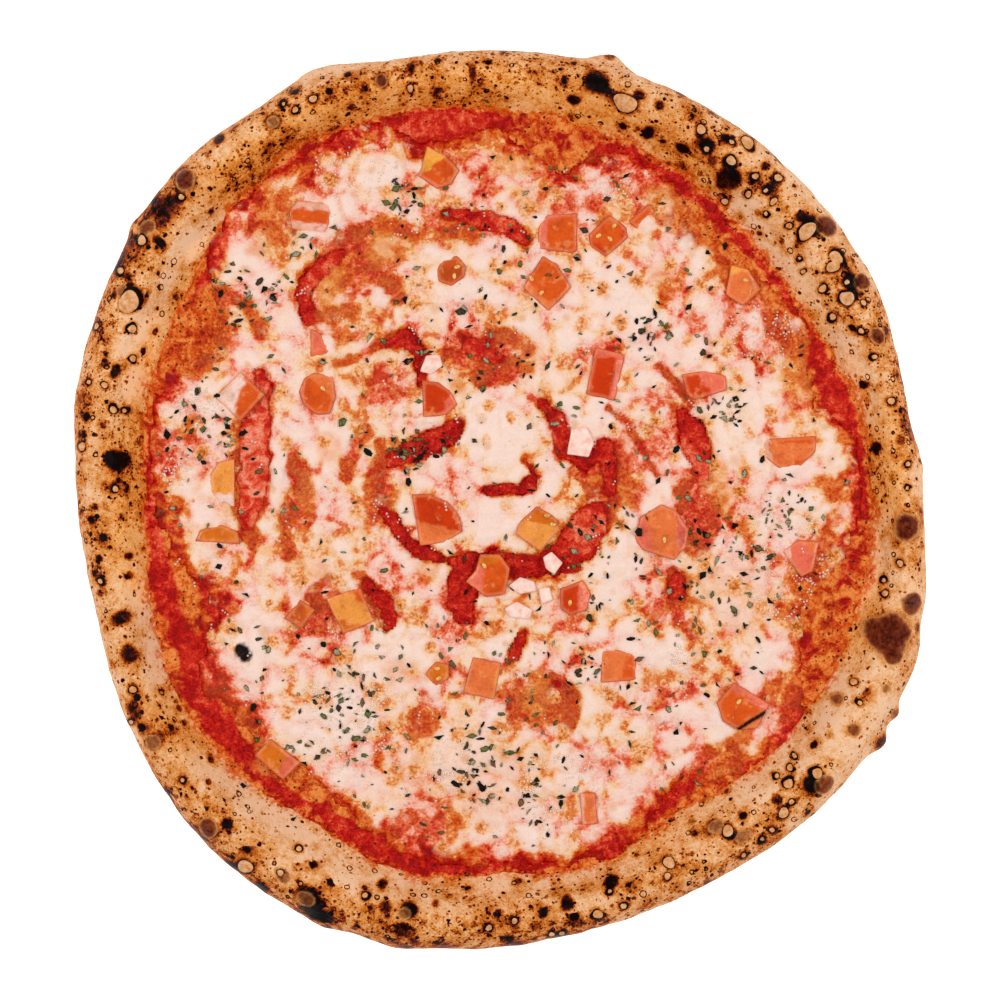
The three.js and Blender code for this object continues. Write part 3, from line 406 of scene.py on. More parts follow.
# Diced tomato seen from above: corners in order, tone of the top, and facets cut down from it. A facet is
# the way it faces in degrees, how far from the middle it starts, its slope and its tone.
TOMATOES = {
    "tomato_01": (
        [(-25.5, 124), (-19, 120.5), (-14, 115.5), (-17, 110.5), (-22, 109), (-28.5, 113.5)], "orange",
        [(125, 2.2, 0.15, "yellow"), (-5, 4.4, 0.5, "gel"), (-110, 4.5, 0.4, "pink")],
    ),
    "tomato_02": (
        [(13.3, 88), (25, 86.5), (27, 87.5), (27, 100.5), (17, 100), (13.5, 97.5)], "orange",
        [(180, 3.6, 0.3, "pink"), (92, 5.6, 0.5, "pink"), (0, 5.8, 0.6, "pink")],
    ),
    "tomato_03": (
        [(31, 93), (38.5, 100), (44.5, 95.5), (45, 92), (37, 85), (31.5, 88.5)], "orange",
        [(-140, 4.2, 0.35, "red"), (10, 5, 0.3, "red")],
    ),
    "tomato_04": ([(45, 97.5), (48, 95), (54.5, 101), (52.5, 104)], "orange", [(-50, 1, 0.5, "salmon")]),
    "tomato_05": (
        [(15, 85.5), (20, 82.5), (25, 74.5), (17, 66), (8, 74.5)], "orange",
        [(-140, 5, 0.4, "salmon"), (28, 6, 0.4, "red"), (-40, 5.8, 0.4, "salmon")],
    ),
    "tomato_06": (
        [(-21.5, 76.5), (-17, 74.8), (-12.5, 78), (-11.8, 82), (-15, 85.5), (-20, 84.5), (-22.5, 80.5)],
        "brown", [],
    ),
    "tomato_07": (
        [(-74, 101), (-71, 105), (-59, 104), (-59.5, 97), (-62, 93), (-73, 95)], "orange",
        [(-95, 2, 0.3, "film"), (85, 2.4, 0.2, "film")],
    ),
    "tomato_08": (
        [(81, 82.5), (87, 80.7), (91.5, 73.7), (85, 68), (79, 72)], "salmon",
        [(-15, 3.4, 0.4, "gel"), (100, 4, 0.3, "yellow")],
    ),
    "tomato_09": (
        [(-66.3, 60), (-63, 58.5), (-59, 51), (-66.5, 50)], "pink",
        [(185, 2.4, 0.4, "orange"), (-85, 3, 0.5, "orange")],
    ),
    "tomato_10": (
        [(-70.5, 38), (-68.5, 43), (-65, 44.5), (-58.5, 43.5),
         (-57.5, 36), (-59.5, 30), (-64.5, 30), (-69, 33.5)],
        "orange", [(50, 2, 0.2, "salmon"), (180, 4.6, 0.4, "red")],
    ),
    "tomato_11": ([(-100, 36), (-91, 45), (-82.5, 37), (-91, 27.5)], "orange", [(160, 0, 0.12, "cream")]),
    "tomato_12": (
        [(-93, 14.5), (-98.5, 13.5), (-101.5, 9), (-101.5, 3), (-98.5, -1.5), (-93, -2.5)], "amber",
        [(-90, 4, 0.3, "cream")],
    ),
    "tomato_13": (
        [(-107, -14.5), (-105, -10.5), (-98, -8.5), (-92, -11), (-91, -15.5)], "gel",
        [(-90, 2.5, 0.4, "brown")],
    ),
    "tomato_14": (
        [(-61, -34.5), (-49, -30.5), (-44, -42.5), (-55, -47)], "amber",
        [(45, 4.4, 0.3, "orange"), (-110, 4.2, 0.3, "gel")],
    ),
    "tomato_15": (
        [(-75.5, -41.5), (-70, -34.8), (-64.8, -38.5), (-69.5, -45)], "brown",
        [(30, 2, 0.3, "gel")],
    ),
    "tomato_16": (
        [(-26.3, -61), (-22.5, -56.5), (-18, -57.5), (-17.8, -62), (-22, -66)], "gel",
        [(-60, 2, 0.3, "brown")],
    ),
    "tomato_17": (
        [(-13, -67.5), (-9.5, -55), (0.5, -57), (-2, -70)], "salmon",
        [(-103, 5.6, 0.5, "gel"), (-14, 4.6, 0.5, "amber")],
    ),
    "tomato_18": (
        [(35.5, -52.5), (38, -51.8), (47.5, -54), (48, -63), (35.3, -64)], "salmon",
        [(-20, 3, 0.2, "orange"), (75, 4.6, 0.5, "pink")],
    ),
    "tomato_19": (
        [(27.8, -102.5), (33.5, -102.5), (34.3, -113.5), (28.8, -113.8)], "salmon",
        [(180, 1.4, 0.4, "film"), (0, 1.8, 0.4, "pink")],
    ),
    "tomato_20": (
        [(-80.5, -83.5), (-70, -92), (-76, -98), (-86, -89.5)], "gel",
        [(-20, 2.2, 0.2, "pink"), (-140, 3.8, 0.6, "brown")],
    ),
    "tomato_21": (
        [(82, -63.8), (94.5, -71.5), (90, -80), (84, -80.5), (78, -77.5), (75.8, -71)], "orange",
        [(-55, 3.6, 0.35, "salmon"), (60, 5, 0.5, "pink")],
    ),
    "tomato_22": (
        [(-27.3, 42), (-22, 41.3), (-17.5, 38.5), (-14.8, 33.5), (-19, 29.8), (-27, 28.8)], "red",
        [(-30, 2.6, 0.3, "pink"), (-140, 6.6, 0.6, "salmon")],
    ),
    "tomato_23": (
        [(-31, 2), (-25, 2.2), (-18.5, -0.5), (-14.5, -5), (-13, -11), (-19.5, -15), (-28, -16)], "red",
        [(-108, 2.6, 0.25, "salmon")],
    ),
    "tomato_24": (
        [(13, -2), (19.8, -6.5), (20.8, -10.5), (14, -18), (5.5, -12), (6.5, -8)], "amber",
        [(80, 1.2, 0.12, "gel"), (100, 5, 0.5, "brown")],
    ),
    "tomato_25": (
        [(-7, -19), (0, -19), (3.5, -24), (2, -33), (-5, -34), (-12, -28.5), (-8.5, -24.5)], "orange",
        [(172, 2, 0.3, "pink"), (98, 3.6, 0.3, "gel")],
    ),
    "tomato_26": (
        [(21, -31), (29, -28), (32, -33), (30.5, -38.5), (24.5, -40.5), (21, -38)], "red",
        [(5, 1.2, 0.3, "pink")],
    ),
    "tomato_27": (
        [(33.5, 53.5), (43.8, 51), (40.3, 34.8), (30, 37), (32, 46)], "red",
        [(78, 5.6, 0.4, "pink"), (166, 4, 0.4, "pink"), (-10, 4.2, 0.4, "pink")],
    ),
    "tomato_28": (
        [(63.5, 44), (72, 45.3), (79, 43.5), (79.5, 38.5), (68, 35), (65.5, 37)], "red",
        [(38, 0.3, 0.12, "pink"), (100, 3.8, 0.3, "salmon")],
    ),
    "tomato_29": (
        [(91, 21.3), (111, 22.5), (110.5, 17), (105.5, 11.5), (98, 11), (93, 15)], "salmon",
        [(92, 3.4, 0.3, "orange"), (-60, 4, 0.3, "orange"), (180, 6.4, 0.3, "film")],
    ),
    "tomato_30": (
        [(56.5, -1.5), (62, -4), (66, -10), (65.5, -16), (61, -21), (50, -17.5), (47, -13.5), (49, -6)],
        "salmon", [(5, 4.6, 0.25, "red"), (190, 5.2, 0.35, "pink")],
    ),
    "tomato_31": (
        [(99, -18), (104, -14), (112, -14.5), (109.5, -25), (105.5, -27)], "pink",
        [(60, 3.6, 0.3, "salmon"), (200, 3.6, 0.3, "film")],
    ),
}
# Tomato seeds lying on the flesh.
SEEDS = [
    (-16, 78.4), (-15, 81.6), (38.5, 91.5), (34.5, 92.5), (-24.5, -60), (-21.5, -62.5), (-22, -59),
    (11, 77.5), (57.5, -14), (24.5, -36), (16.5, -5.5), (18.5, -8.5), (-5.5, -23), (86, 77), (83.5, -70.5),
    (40, 96), (14.5, 72.5), (-62, 39),
]
SEED_SIZE = (2.3, 1.4, 0.5)
SEED_LIFT = 0.35
# Burnt cracks in the flesh: width and the points of the stroke.
CRACKS = [(1.5, [(83.2, -80.2), (87.5, -77.4), (93, -74.2)])]
DICE_SETTLE = 1.6  # how far the dice sank as they baked
# Crumbs of cheese that stayed white: corners in order.
CRUMBS = {
    "cheese_lump_1": [(-28, 45), (-24, 44), (-20, 47), (-21, 51), (-26, 50.5)],
    "cheese_lump_2": [(23.5, 16), (31, 15), (33, 20), (30.5, 25.5), (25, 25)],
    "cheese_lump_3": [(15, -20), (18, -18), (22, -22), (19, -26), (16, -24)],
    "cheese_lump_4": [(3, -30), (7, -27), (12, -28.5), (13, -32), (7, -33)],
    "cheese_lump_5": [(13.5, -31), (17.5, -30.5), (18.5, -35), (14.5, -36.5)],
    "cheese_lump_6": [(1.5, -38), (6, -35.5), (11.5, -38.5), (10, -42), (3.5, -41)],
}
# How a cut piece is worked: softness of its edges, unevenness of its top, longest edges of its mesh.
CUT_SOFTNESS = 0.5
CUT_BULGE = 0.3
CUT_STEPS = (3, 1.5, 0.9)

# ---- numbers ---------------------------------------------------------------------------------------------


def smooth(low, high, value):
    t = np.clip((value - low) / (high - low), 0, 1)
    return t * t * (3 - 2 * t)


def between(a, b, c, d, f):
    """The smooth curve through four points, at a share f of the way from b to c."""
    return b + 0.5 * f * (c - a + f * (2 * a - 5 * b + 4 * c - d + f * (3 * (b - c) + d - a)))


def around(values, angle):
    """A closed smooth curve through values evenly spaced round the circle."""
    v = np.array(values, float)
    t = (angle / TAU % 1.0) * len(v)
    i = np.floor(t).astype(int)
    f = t - i
    return between(*(v[(i + k) % len(v)] for k in (-1, 0, 1, 2)), f)


draw = np.random.default_rng(19)
SHUFFLE = np.concatenate([draw.permutation(256)] * 3)
SLOPES = draw.normal(size=(256, 3))
SLOPES /= np.linalg.norm(SLOPES, axis=1)[:, None]


def noise(x, y, z, size, seed):
    """Smooth noise from about -1 to 1 whose bumps are size mm across; each seed gives another pattern."""
    p = np.stack(np.broadcast_arrays(x, y, z), axis=-1) / size + 17.3 * seed
    cell = np.floor(p).astype(int)
    f = p - cell
    fade = f * f * f * (f * (f * 6 - 15) + 10)
    total = 0
    for corner in np.ndindex(2, 2, 2):
        c = (cell + corner) & 255
        slope = SLOPES[SHUFFLE[SHUFFLE[SHUFFLE[c[..., 0]] + c[..., 1]] + c[..., 2]]]
        weight = np.where(corner, fade, 1 - fade).prod(axis=-1)
        total = total + weight * (slope * (f - corner)).sum(axis=-1)
    return 1.6 * total


def polar(angle, radius):
    return radius * math.cos(math.radians(angle)), radius * math.sin(math.radians(angle))


def on_oval(x, y, angle, radius, width, depth):
    """A point's place on an oval of the rim, in half-widths: outwards, and along the rim."""
    bx, by = polar(angle, radius)
    c, s = math.cos(math.radians(angle)), math.sin(math.radians(angle))
    out = ((x - bx) * c + (y - by) * s) / (depth / 2)
    side = (-(x - bx) * s + (y - by) * c) / (width / 2)
    return out, side


def patch_field(x, y, patches, rough=0.22):
    """Sum of soft-edged ovals (x, y, half-width, half-height, turn, strength), with ragged edges."""
    ragged = rough * noise(x, y, 0, 7, 3) + 0.6 * rough * noise(x, y, 0, 3, 4)
    total = np.zeros_like(x)
    for px, py, a, b, turn, strength in patches:
        c, s = math.cos(math.radians(turn)), math.sin(math.radians(turn))
        u = ((x - px) * c + (y - py) * s) / a
        v = (-(x - px) * s + (y - py) * c) / b
        total += strength * (1 - smooth(0.45, 1.15, np.hypot(u, v) + ragged))
    return total


def rim_patch_field(angle, radius, patches):
    total = np.zeros_like(angle)
    for at, middle, half_turn, half_width, strength in patches:
        turn = np.degrees(np.angle(np.exp(1j * (angle - math.radians(at)))))
        e = np.hypot(turn / half_turn, (radius - middle) / half_width)
        total += strength * (1 - smooth(0.3, 1.4, e))
    return total


def stroke_distance(x, y, path):
    """Distance to a line through points, and how far along it the nearest point is."""
    best = np.full_like(x, 1e9)
    along = np.zeros_like(x)
    for i, ((ax, ay), (bx, by)) in enumerate(zip(path, path[1:])):
        t = np.clip(((x - ax) * (bx - ax) + (y - ay) * (by - ay)) / ((bx - ax) ** 2 + (by - ay) ** 2), 0, 1)
        d = np.hypot(x - ax - t * (bx - ax), y - ay - t * (by - ay))
        nearer = d < best
        best = np.where(nearer, d, best)
        along = np.where(nearer, (i + t) / (len(path) - 1), along)
    return best, along


def polygon_distance(x, y, corners):
    """Signed distance to a polygon's edge, negative inside."""
    best = np.full_like(x, 1e9)
    inside = np.zeros(x.shape, bool)
    for (ax, ay), (bx, by) in zip(corners, corners[1:] + corners[:1]):
        t = np.clip(((x - ax) * (bx - ax) + (y - ay) * (by - ay)) / ((bx - ax) ** 2 + (by - ay) ** 2), 0, 1)
        best = np.minimum(best, np.hypot(x - ax - t * (bx - ax), y - ay - t * (by - ay)))
        crosses = (ay > y) != (by > y)
        with np.errstate(divide="ignore", invalid="ignore"):
            inside ^= crosses & (x < (bx - ax) * (y - ay) / (by - ay) + ax)
    return np.where(inside, -best, best)


# ---- the dough's form ------------------------------------------------------------------------------------


def section_curve():
    """The section as a smooth curve, with more points where it shows."""
    points = np.array(SECTION, float)
    curve = []
    for i, steps in enumerate(SECTION_STEPS):
        near = [points[min(max(i + k, 0), len(points) - 1)] for k in (-1, 0, 1, 2)]
        for f in np.arange(steps) / steps:
            curve.append(between(*near, f))
    curve.append(points[-1])
    curve = np.array(curve)
    curve[:, 0] = np.maximum(curve[:, 0], 0)
    curve[:, 1] = np.maximum(curve[:, 1], -1)
    return curve


SECTION_CURVE = section_curve()
TOP_SIDE = SECTION_CURVE[SECTION_CURVE[:, 1] >= TOP_EDGE][::-1]
TOP_SIDE = TOP_SIDE[np.argsort(TOP_SIDE[:, 0], kind="stable")]
TOP_SIDE = TOP_SIDE[TOP_SIDE[:, 0] < OUTER_WALL]


def rim_wave(angle):
    return 0.7 * np.sin(7 * angle + 1) + 0.5 * np.sin(11 * angle + 2.1) + 0.35 * np.sin(17 * angle + 0.4)


def blister_rise(x, y):
    total = np.zeros_like(x)
    for angle, radius, width, rise in TOP_BLISTERS:
        bx, by = polar(angle, radius)
        near = np.maximum(0, 1 - ((x - bx) ** 2 + (y - by) ** 2) / (width * width * BLISTER_FOOT))
        total += rise * near * near
    return total


def bulge_push(angle, z):
    total = np.zeros_like(angle)
    for at, width, push, height in SIDE_BULGES:
        along = np.angle(np.exp(1j * (angle - math.radians(at)))) / math.radians(width)
        total += push * np.exp(-along * along - ((z - height) / SWELLING_REACH) ** 2)
    return total


def rim_point(angle, across, up):
    foot = around(SAUCE_EDGE, angle) - TOE
    outline = around(OUTLINE, angle)
    crest = around(CREST, angle) + rim_wave(angle)
    on_rim = np.maximum(0, across - 1)
    radius = np.where(across <= 1, across * foot, foot + on_rim * (outline - foot))
    z = np.where(up < 0, FLOOR * (1 + up), FLOOR + up * (crest - FLOOR))
    rise = np.where(up > BLISTERED_FROM, blister_rise(radius * np.cos(angle), radius * np.sin(angle)), 0)
    push = np.where((across > 1.7) & (up > -1), bulge_push(angle, z), 0)
    return radius + push, z + rise


def ring_distance(x, y):
    """Signed distance to the ring blisters' outlines, the same for the skin inside them, and their height."""
    outline = np.full_like(x, 3.0)
    skin = np.full_like(x, 3.0)
    dome = np.zeros_like(x)
    for i, (angle, radius, width, depth) in enumerate(RINGS):
        out, side = on_oval(x, y, angle, radius, width, depth)
        bearing = np.arctan2(out, side)
        wobble = 1 + 0.09 * np.sin(2 * bearing + i) + 0.06 * np.sin(3 * bearing + 2.4 * i)
        half = 0.25 * (width + depth)
        e = np.hypot(out, side) / wobble
        # The skin's outline sits off-centre, so the charred line is thicker on one side: a painted shade,
        # like the shaded flank of the blister's dome.
        shift = 0.13 * (i % 3)
        inner = np.hypot(out - shift * math.sin(2.4 * i), side - shift * math.cos(2.4 * i)) / wobble
        outline = np.minimum(outline, (e - 1) * half)
        skin = np.minimum(skin, (inner - 1) * half + 0.22 + 0.16 * (i % 3))
        lip = 0.12 * np.exp(-(((e - 1) * half / 0.5) ** 2))
        dome += np.where(e < 1, 0.2 * half * np.sqrt(np.maximum(0, 1 - e * e)) + 0.12, lip)
    return outline, skin, np.minimum(dome, 0.9)


def blister_field(x, y):
    """How much of a brown blister's skin a point has, 0 to 1."""
    ragged = 0.2 * noise(x, y, 0, 4.5, 35) + 0.06 * noise(x, y, 0, 1.6, 36)
    clear = np.ones_like(x)
    for angle, radius, width, depth, strength in BLISTERS:
        out, side = on_oval(x, y, angle, radius, width, depth)
        clear *= 1 - strength * (1 - smooth(0.62, 1.1, np.hypot(out, side) + ragged))
    return 1 - clear


def char_field(x, y, z):
    """How charred the dough is, 0 to 1."""
    ragged = 0.12 * noise(x, y, z, 4, 5) + 0.05 * noise(x, y, z, 1.8, 6)
    clear = np.ones_like(x)
    for angle, radius, width, depth, darkness in CHARS:
        out, side = on_oval(x, y, angle, radius, width, depth)
        e = np.hypot(out, side) + ragged
        clear *= 1 - darkness * (0.72 - 0.72 * smooth(0.6, 1.12, e) + 0.28 * (1 - smooth(0.5, 1.7, e)))
    return 1 - clear


def dough_relief(x, y, across):
    """Small bumps of the rim's skin."""
    on_rim = smooth(1.05, 1.35, across)
    bumps = 0.5 * noise(x, y, 0, 16, 7) + 0.35 * noise(x, y, 0, 7, 8) + 0.16 * noise(x, y, 0, 3.2, 9)
    return on_rim * bumps + 0.08 * noise(x, y, 0, 1.7, 10)


def dough_height(x, y):
    """Top face of the dough over a point."""
    angle = np.arctan2(y, x)
    radius = np.hypot(x, y)
    foot = around(SAUCE_EDGE, angle) - TOE
    outline = around(OUTLINE, angle)
    across = np.where(radius <= foot, radius / foot, 1 + (radius - foot) / (outline - foot))
    crest = around(CREST, angle) + rim_wave(angle)
    up = np.interp(across, TOP_SIDE[:, 0], TOP_SIDE[:, 1])
    rise = np.where(up > BLISTERED_FROM, blister_rise(x, y), 0)
    return FLOOR + up * (crest - FLOOR) + rise + dough_relief(x, y, across)


# ---- the toppings' form ----------------------------------------------------------------------------------


def melt_wave(x, y):
    return (
        0.55 * np.sin(x / 7.9 + 1) * np.sin(y / 8.7 + 2)
        + 0.35 * np.sin(x / 7.1 + y / 9.3)
        + 0.3 * np.sin(y / 6.9 - x / 11.7 + 0.6)
    )


def beyond_sauce(x, y):
    """How far a point lies beyond the ragged edge of the sauce, negative inside it."""
    ragged = 2.2 * noise(x, y, 0, 11, 11) + 1.3 * noise(x, y, 0, 4.5, 12) + 0.7 * noise(x, y, 0, 2, 13)
    return np.hypot(x, y) - around(SAUCE_EDGE, np.arctan2(y, x)) - ragged


def sauce_height(x, y):
    """Top face of the sauce; beyond its edge it dips under the dough."""
    beyond = beyond_sauce(x, y)
    level = SAUCE_TOP + 0.3 * noise(x, y, 0, 8, 14) + 0.22 * noise(x, y, 0, 3, 15)
    level += 0.1 * noise(x, y, 0, 1.6, 16)
    film = 0.5 * smooth(0.5, -3.5, beyond) - 1.2 * smooth(-0.3, 1.6, beyond)
    return np.maximum(level, dough_height(x, y) + film) - 1.6 * smooth(0.2, 2.2, beyond)


def curds(x, y, size):
    """Rounded lumps size mm across: 0 in the valleys between them, 1 on top."""
    x, y = x + 5 * noise(x, y, 0, 15, 26), y + 5 * noise(x, y, 0, 13, 27)
    cell_x, cell_y = np.floor(x / size).astype(int), np.floor(y / size).astype(int)
    first = np.full_like(x, 9.0)
    second = np.full_like(x, 9.0)
    for i, j in np.ndindex(3, 3):
        a, b = cell_x + i - 1, cell_y + j - 1
        jog = SLOPES[SHUFFLE[(SHUFFLE[a & 255] + b) & 255]]
        d = np.hypot(x / size - a - 0.5 - 0.48 * jog[..., 0], y / size - b - 0.5 - 0.48 * jog[..., 1])
        second = np.minimum(second, np.maximum(first, d))
        first = np.minimum(first, d)
    return smooth(0, 0.6, second - first)


def streak_field(x, y):
    total = np.zeros_like(x)
    wobble = 0.8 * noise(x, y, 0, 4, 28)
    for width, path in STREAKS:
        d, _ = stroke_distance(x, y, path)
        total = np.maximum(total, 1 - smooth(0.15 * width, 0.75 * width, d + wobble))
    return total


def cheese_thickness(x, y):
    """How thick the cheese lies over the sauce's level; below 0 there is none."""
    angle = np.arctan2(y, x)
    radius = np.hypot(x, y)
    grain = noise(x, y, 0, 9, 20)
    fine = noise(x, y, 0, 4, 21)
    thick = CHEESE_LEVEL + 0.5 * melt_wave(x, y) + 0.6 * grain + 0.35 * fine + 0.14 * noise(x, y, 0, 1.9, 22)
    thick += 0.8 * curds(x, y, CURD_SIZE)
    thick += patch_field(x, y, THICK)
    thick *= 1 - np.clip(patch_field(x, y, THIN, 0.35), 0, 0.85)
    thick *= 1 - 0.75 * streak_field(x, y)
    inside = around(CHEESE_EDGE, angle) + 3 * grain + 1.8 * fine + 0.8 * noise(x, y, 0, 2.2, 23) - radius
    thick = thick * smooth(-1.5, 12, inside) ** 0.7 - 1.2 * (1 - smooth(-3, 0.5, inside))
    for width, path in POOLS:
        d, along = stroke_distance(x, y, path)
        half = 0.5 * width * np.sqrt(np.maximum(0.2, np.sin(np.pi * (0.06 + 0.88 * along))))
        gap = d - half + 1.2 * fine + 0.5 * noise(x, y, 0, 2.2, 24) + 1.2 * grain
        thick = thick * smooth(-1, 3, gap) ** 0.6 - 1.2 * (1 - smooth(-2, 0.4, gap))
    for corners, _, _ in TOMATOES.values():
        d = polygon_distance(x, y, corners)
        pocket = np.minimum(thick, POCKET_DEPTH) * (0.1 + 0.9 * smooth(-2.6, -0.6, d))
        thick = np.where(d < 0, pocket, thick)
    return thick


def cheese_climb(x, y):
    """How far the cheese rises up the sides of the tomato."""
    rise = np.zeros_like(x)
    for corners, _, _ in TOMATOES.values():
        d = polygon_distance(x, y, corners)
        rise = np.maximum(rise, smooth(5, -0.5, d) * smooth(-2, -0.5, d))
    return rise * (0.55 + 0.5 * noise(x, y, 0, 6, 29))


def cheese_height(x, y):
    thick = cheese_thickness(x, y)
    return SAUCE_TOP + thick + cheese_climb(x, y) * smooth(0, 1.5, thick)


# ---- meshes ----------------------------------------------------------------------------------------------


def finished(name, bm, material, node):
    """Writes a bmesh as a piece that rides on the pizza and stands for a CAD node."""
    mesh = bpy.data.meshes.new(name)
    bm.to_mesh(mesh)
    bm.free()
    mesh.shade_smooth()
    mesh.materials.append(material)
    piece = bpy.data.objects.new(name, mesh)
    bpy.context.scene.collection.objects.link(piece)
    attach(piece, "root")
    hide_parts(node)
    return piece


def points_of(mesh):
    co = np.empty(3 * len(mesh.vertices))
    mesh.vertices.foreach_get("co", co)
    return co.reshape(-1, 3).T


def store(mesh, name, values):
    """Keeps one number for each vertex, for the material to read."""
    attribute = mesh.attributes.new(name, "FLOAT", "POINT")
    attribute.data.foreach_set("value", np.asarray(values, np.float32))


def vertices_in(made):
    return [v for v in made if isinstance(v, bmesh.types.BMVert)]


def in_metres(bm):
    bmesh.ops.scale(bm, vec=(MM, MM, MM), verts=bm.verts)


def crust_piece(material):
    bm = bmesh.new()
    chain = [bm.verts.new((across, 0, up)) for across, up in SECTION_CURVE]
    for a, b in zip(chain, chain[1:]):
        bm.edges.new((a, b))
    bmesh.ops.spin(
        bm, geom=bm.verts[:] + bm.edges[:], cent=(0, 0, 0), axis=(0, 0, 1), angle=TAU, steps=CRUST_STEPS,
        use_merge=True,
    )
    bmesh.ops.remove_doubles(bm, verts=bm.verts, dist=1e-5)
    bmesh.ops.recalc_face_normals(bm, faces=bm.faces)
    mesh = finished("baked_crust", bm, material, "crust").data
    x, y, up = points_of(mesh)
    across = np.hypot(x, y)
    angle = np.arctan2(y, x)
    radius, z = rim_point(angle, across, up)
    x, y = radius * np.cos(angle), radius * np.sin(angle)
    ring, skin, dome = ring_distance(x, y)
    char = char_field(x, y, z)
    top = up > TOP_EDGE
    shown = smooth(-0.1, 0.35, up)
    z = z + shown * (dough_relief(x, y, across) + dome - 0.5 * smooth(0.5, 1, char))
    wall = smooth(1.75, OUTER_WALL, across) * smooth(-0.98, -0.6, up)
    push = wall * (0.5 * noise(x, y, z, 12, 17) + 0.25 * noise(x, y, z, 4.5, 18))
    x, y = (radius + push) * np.cos(angle), (radius + push) * np.sin(angle)
    mesh.vertices.foreach_set("co", np.stack([x, y, z], axis=1).ravel() * MM)
    store(mesh, "char", np.where(top, char, 0))
    store(mesh, "blister", np.where(top, blister_field(x, y), 0))
    store(mesh, "ring", np.where(top, ring, 3))
    store(mesh, "skin", np.where(top, skin, 3))
    toasted = np.clip(rim_patch_field(angle, radius, TOASTED), 0, 1)
    store(mesh, "toast", np.where(top, toasted, 0))
    store(mesh, "pale", np.clip(rim_patch_field(angle, radius, PALE_AND_PAINTED_LIGHT), 0, 1.5))
    run = np.where(top, np.clip(rim_patch_field(angle, radius + noise(x, y, z, 5, 33), RUNS), 0, 1), 0)
    store(mesh, "run", run)
    store(mesh, "stain", np.where(top, 1 - smooth(-1, 4, beyond_sauce(x, y)), 0))
    store(mesh, "outer", smooth(1.72, 1.98, across))
    mesh.update()


def sheet_piece(name, node, material, height, keep, floor_z, grid):
    """A layer with a fine top face: a grid moved to its height, cut to shape and closed below."""
    reach, spacing = grid
    bm = bmesh.new()
    steps = int(2 * reach / spacing)
    bmesh.ops.create_grid(bm, x_segments=steps, y_segments=steps, size=reach)
    xyz = np.array([v.co for v in bm.verts])
    x, y = xyz[:, 0], xyz[:, 1]
    stays = keep(x, y)
    z = height(x, y)
    for v, level, stay in zip(bm.verts, z, stays):
        v.co.z = level
        v.tag = not stay
    bmesh.ops.delete(bm, geom=[v for v in bm.verts if v.tag], context="VERTS")
    bmesh.ops.delete(bm, geom=[v for v in bm.verts if len(v.link_faces) < 2], context="VERTS")
    largest_island(bm)
    border = [e for e in bm.edges if e.is_boundary]
    made = bmesh.ops.extrude_edge_only(bm, edges=border)["geom"]
    for v in vertices_in(made):
        v.co.z = floor_z
    rim = [e for e in made if isinstance(e, bmesh.types.BMEdge)]
    bmesh.ops.triangle_fill(bm, use_beauty=True, edges=rim)
    bmesh.ops.recalc_face_normals(bm, faces=bm.faces)
    in_metres(bm)
    return finished(name, bm, material, node)


def largest_island(bm):
    """Deletes all but the largest connected body."""
    seen = set()
    islands = []
    for start in bm.verts:
        if start in seen:
            continue
        island = [start]
        seen.add(start)
        for v in island:
            for e in v.link_edges:
                other = e.other_vert(v)
                if other not in seen:
                    seen.add(other)
                    island.append(other)
        islands.append(island)
    islands.sort(key=len)
    bmesh.ops.delete(bm, geom=[v for island in islands[:-1] for v in island], context="VERTS")


def sauce_piece(material):
    def keep(x, y):
        return np.hypot(x, y) < around(SAUCE_EDGE, np.arctan2(y, x)) + SAUCE_REACH

    piece = sheet_piece(
        "tomato_sauce", "sauce", material,
        sauce_height, keep, FLOOR + CLEARANCE, SAUCE_GRID,
    )
    x, y, _ = points_of(piece.data) / MM
    angle, radius = np.arctan2(y, x), np.hypot(x, y)
    store(piece.data, "deep", smooth(-1, 6, -beyond_sauce(x, y)))
    store(piece.data, "toast", np.clip(patch_field(x, y, SCORCHED, 0.35), 0, 1))
    veiled = rim_patch_field(angle, radius, STRINGS) + patch_field(x, y, VEILED, 0.3)
    store(piece.data, "film", np.clip(veiled, 0, 1))
    redness = rim_patch_field(angle, radius + 2 * noise(x, y, 0, 7, 34), RED) + smooth(114, 106, radius)
    store(piece.data, "red", np.clip(redness, 0, 1))


def cheese_piece(material):
    def keep(x, y):
        return cheese_thickness(x, y) > CHEESE_LEAST

    piece = sheet_piece(
        "melted_cheese", "cheese", material,
        cheese_height, keep, SAUCE_TOP - EMBED, CHEESE_GRID,
    )
    x, y, _ = points_of(piece.data) / MM
    store(piece.data, "thick", cheese_thickness(x, y))
    golden = np.zeros_like(x)
    ragged = 0.3 * noise(x, y, 0, 3, 31) + 0.15 * noise(x, y, 0, 1.5, 32)
    for gx, gy, size in GOLDEN:
        golden = np.maximum(golden, 1 - smooth(0.0, 1.25, np.hypot(x - gx, y - gy) / size + ragged))
    burnt = np.zeros_like(x)
    for bx, by, size, darkness in BURNT:
        out = np.hypot(x - bx, y - by) / size + ragged
        burnt = np.maximum(burnt, darkness - darkness * smooth(0.5, 1.2, out))
    store(piece.data, "golden", golden)
    store(piece.data, "burnt", burnt)
    store(piece.data, "oily", np.clip(patch_field(x, y, THIN, 0.35) + streak_field(x, y), 0, 1))
    for tone, patches, rough in (("amber", AMBER, 0.3), ("rosy", ROSY, 0.3), ("toast", SCORCHED, 0.35)):
        store(piece.data, tone, np.clip(patch_field(x, y, patches, rough), 0, 1))
    store(piece.data, "near_rim", smooth(22, 2, around(SAUCE_EDGE, np.arctan2(y, x)) - np.hypot(x, y)))


def beyond_facet(x, y, corners, angle, offset):
    """How far a point lies past the line where a facet starts."""
    middle_x, middle_y = np.mean(corners, axis=0)
    way_x, way_y = polar(angle, 1)
    return (x - middle_x) * way_x + (y - middle_y) * way_y - offset


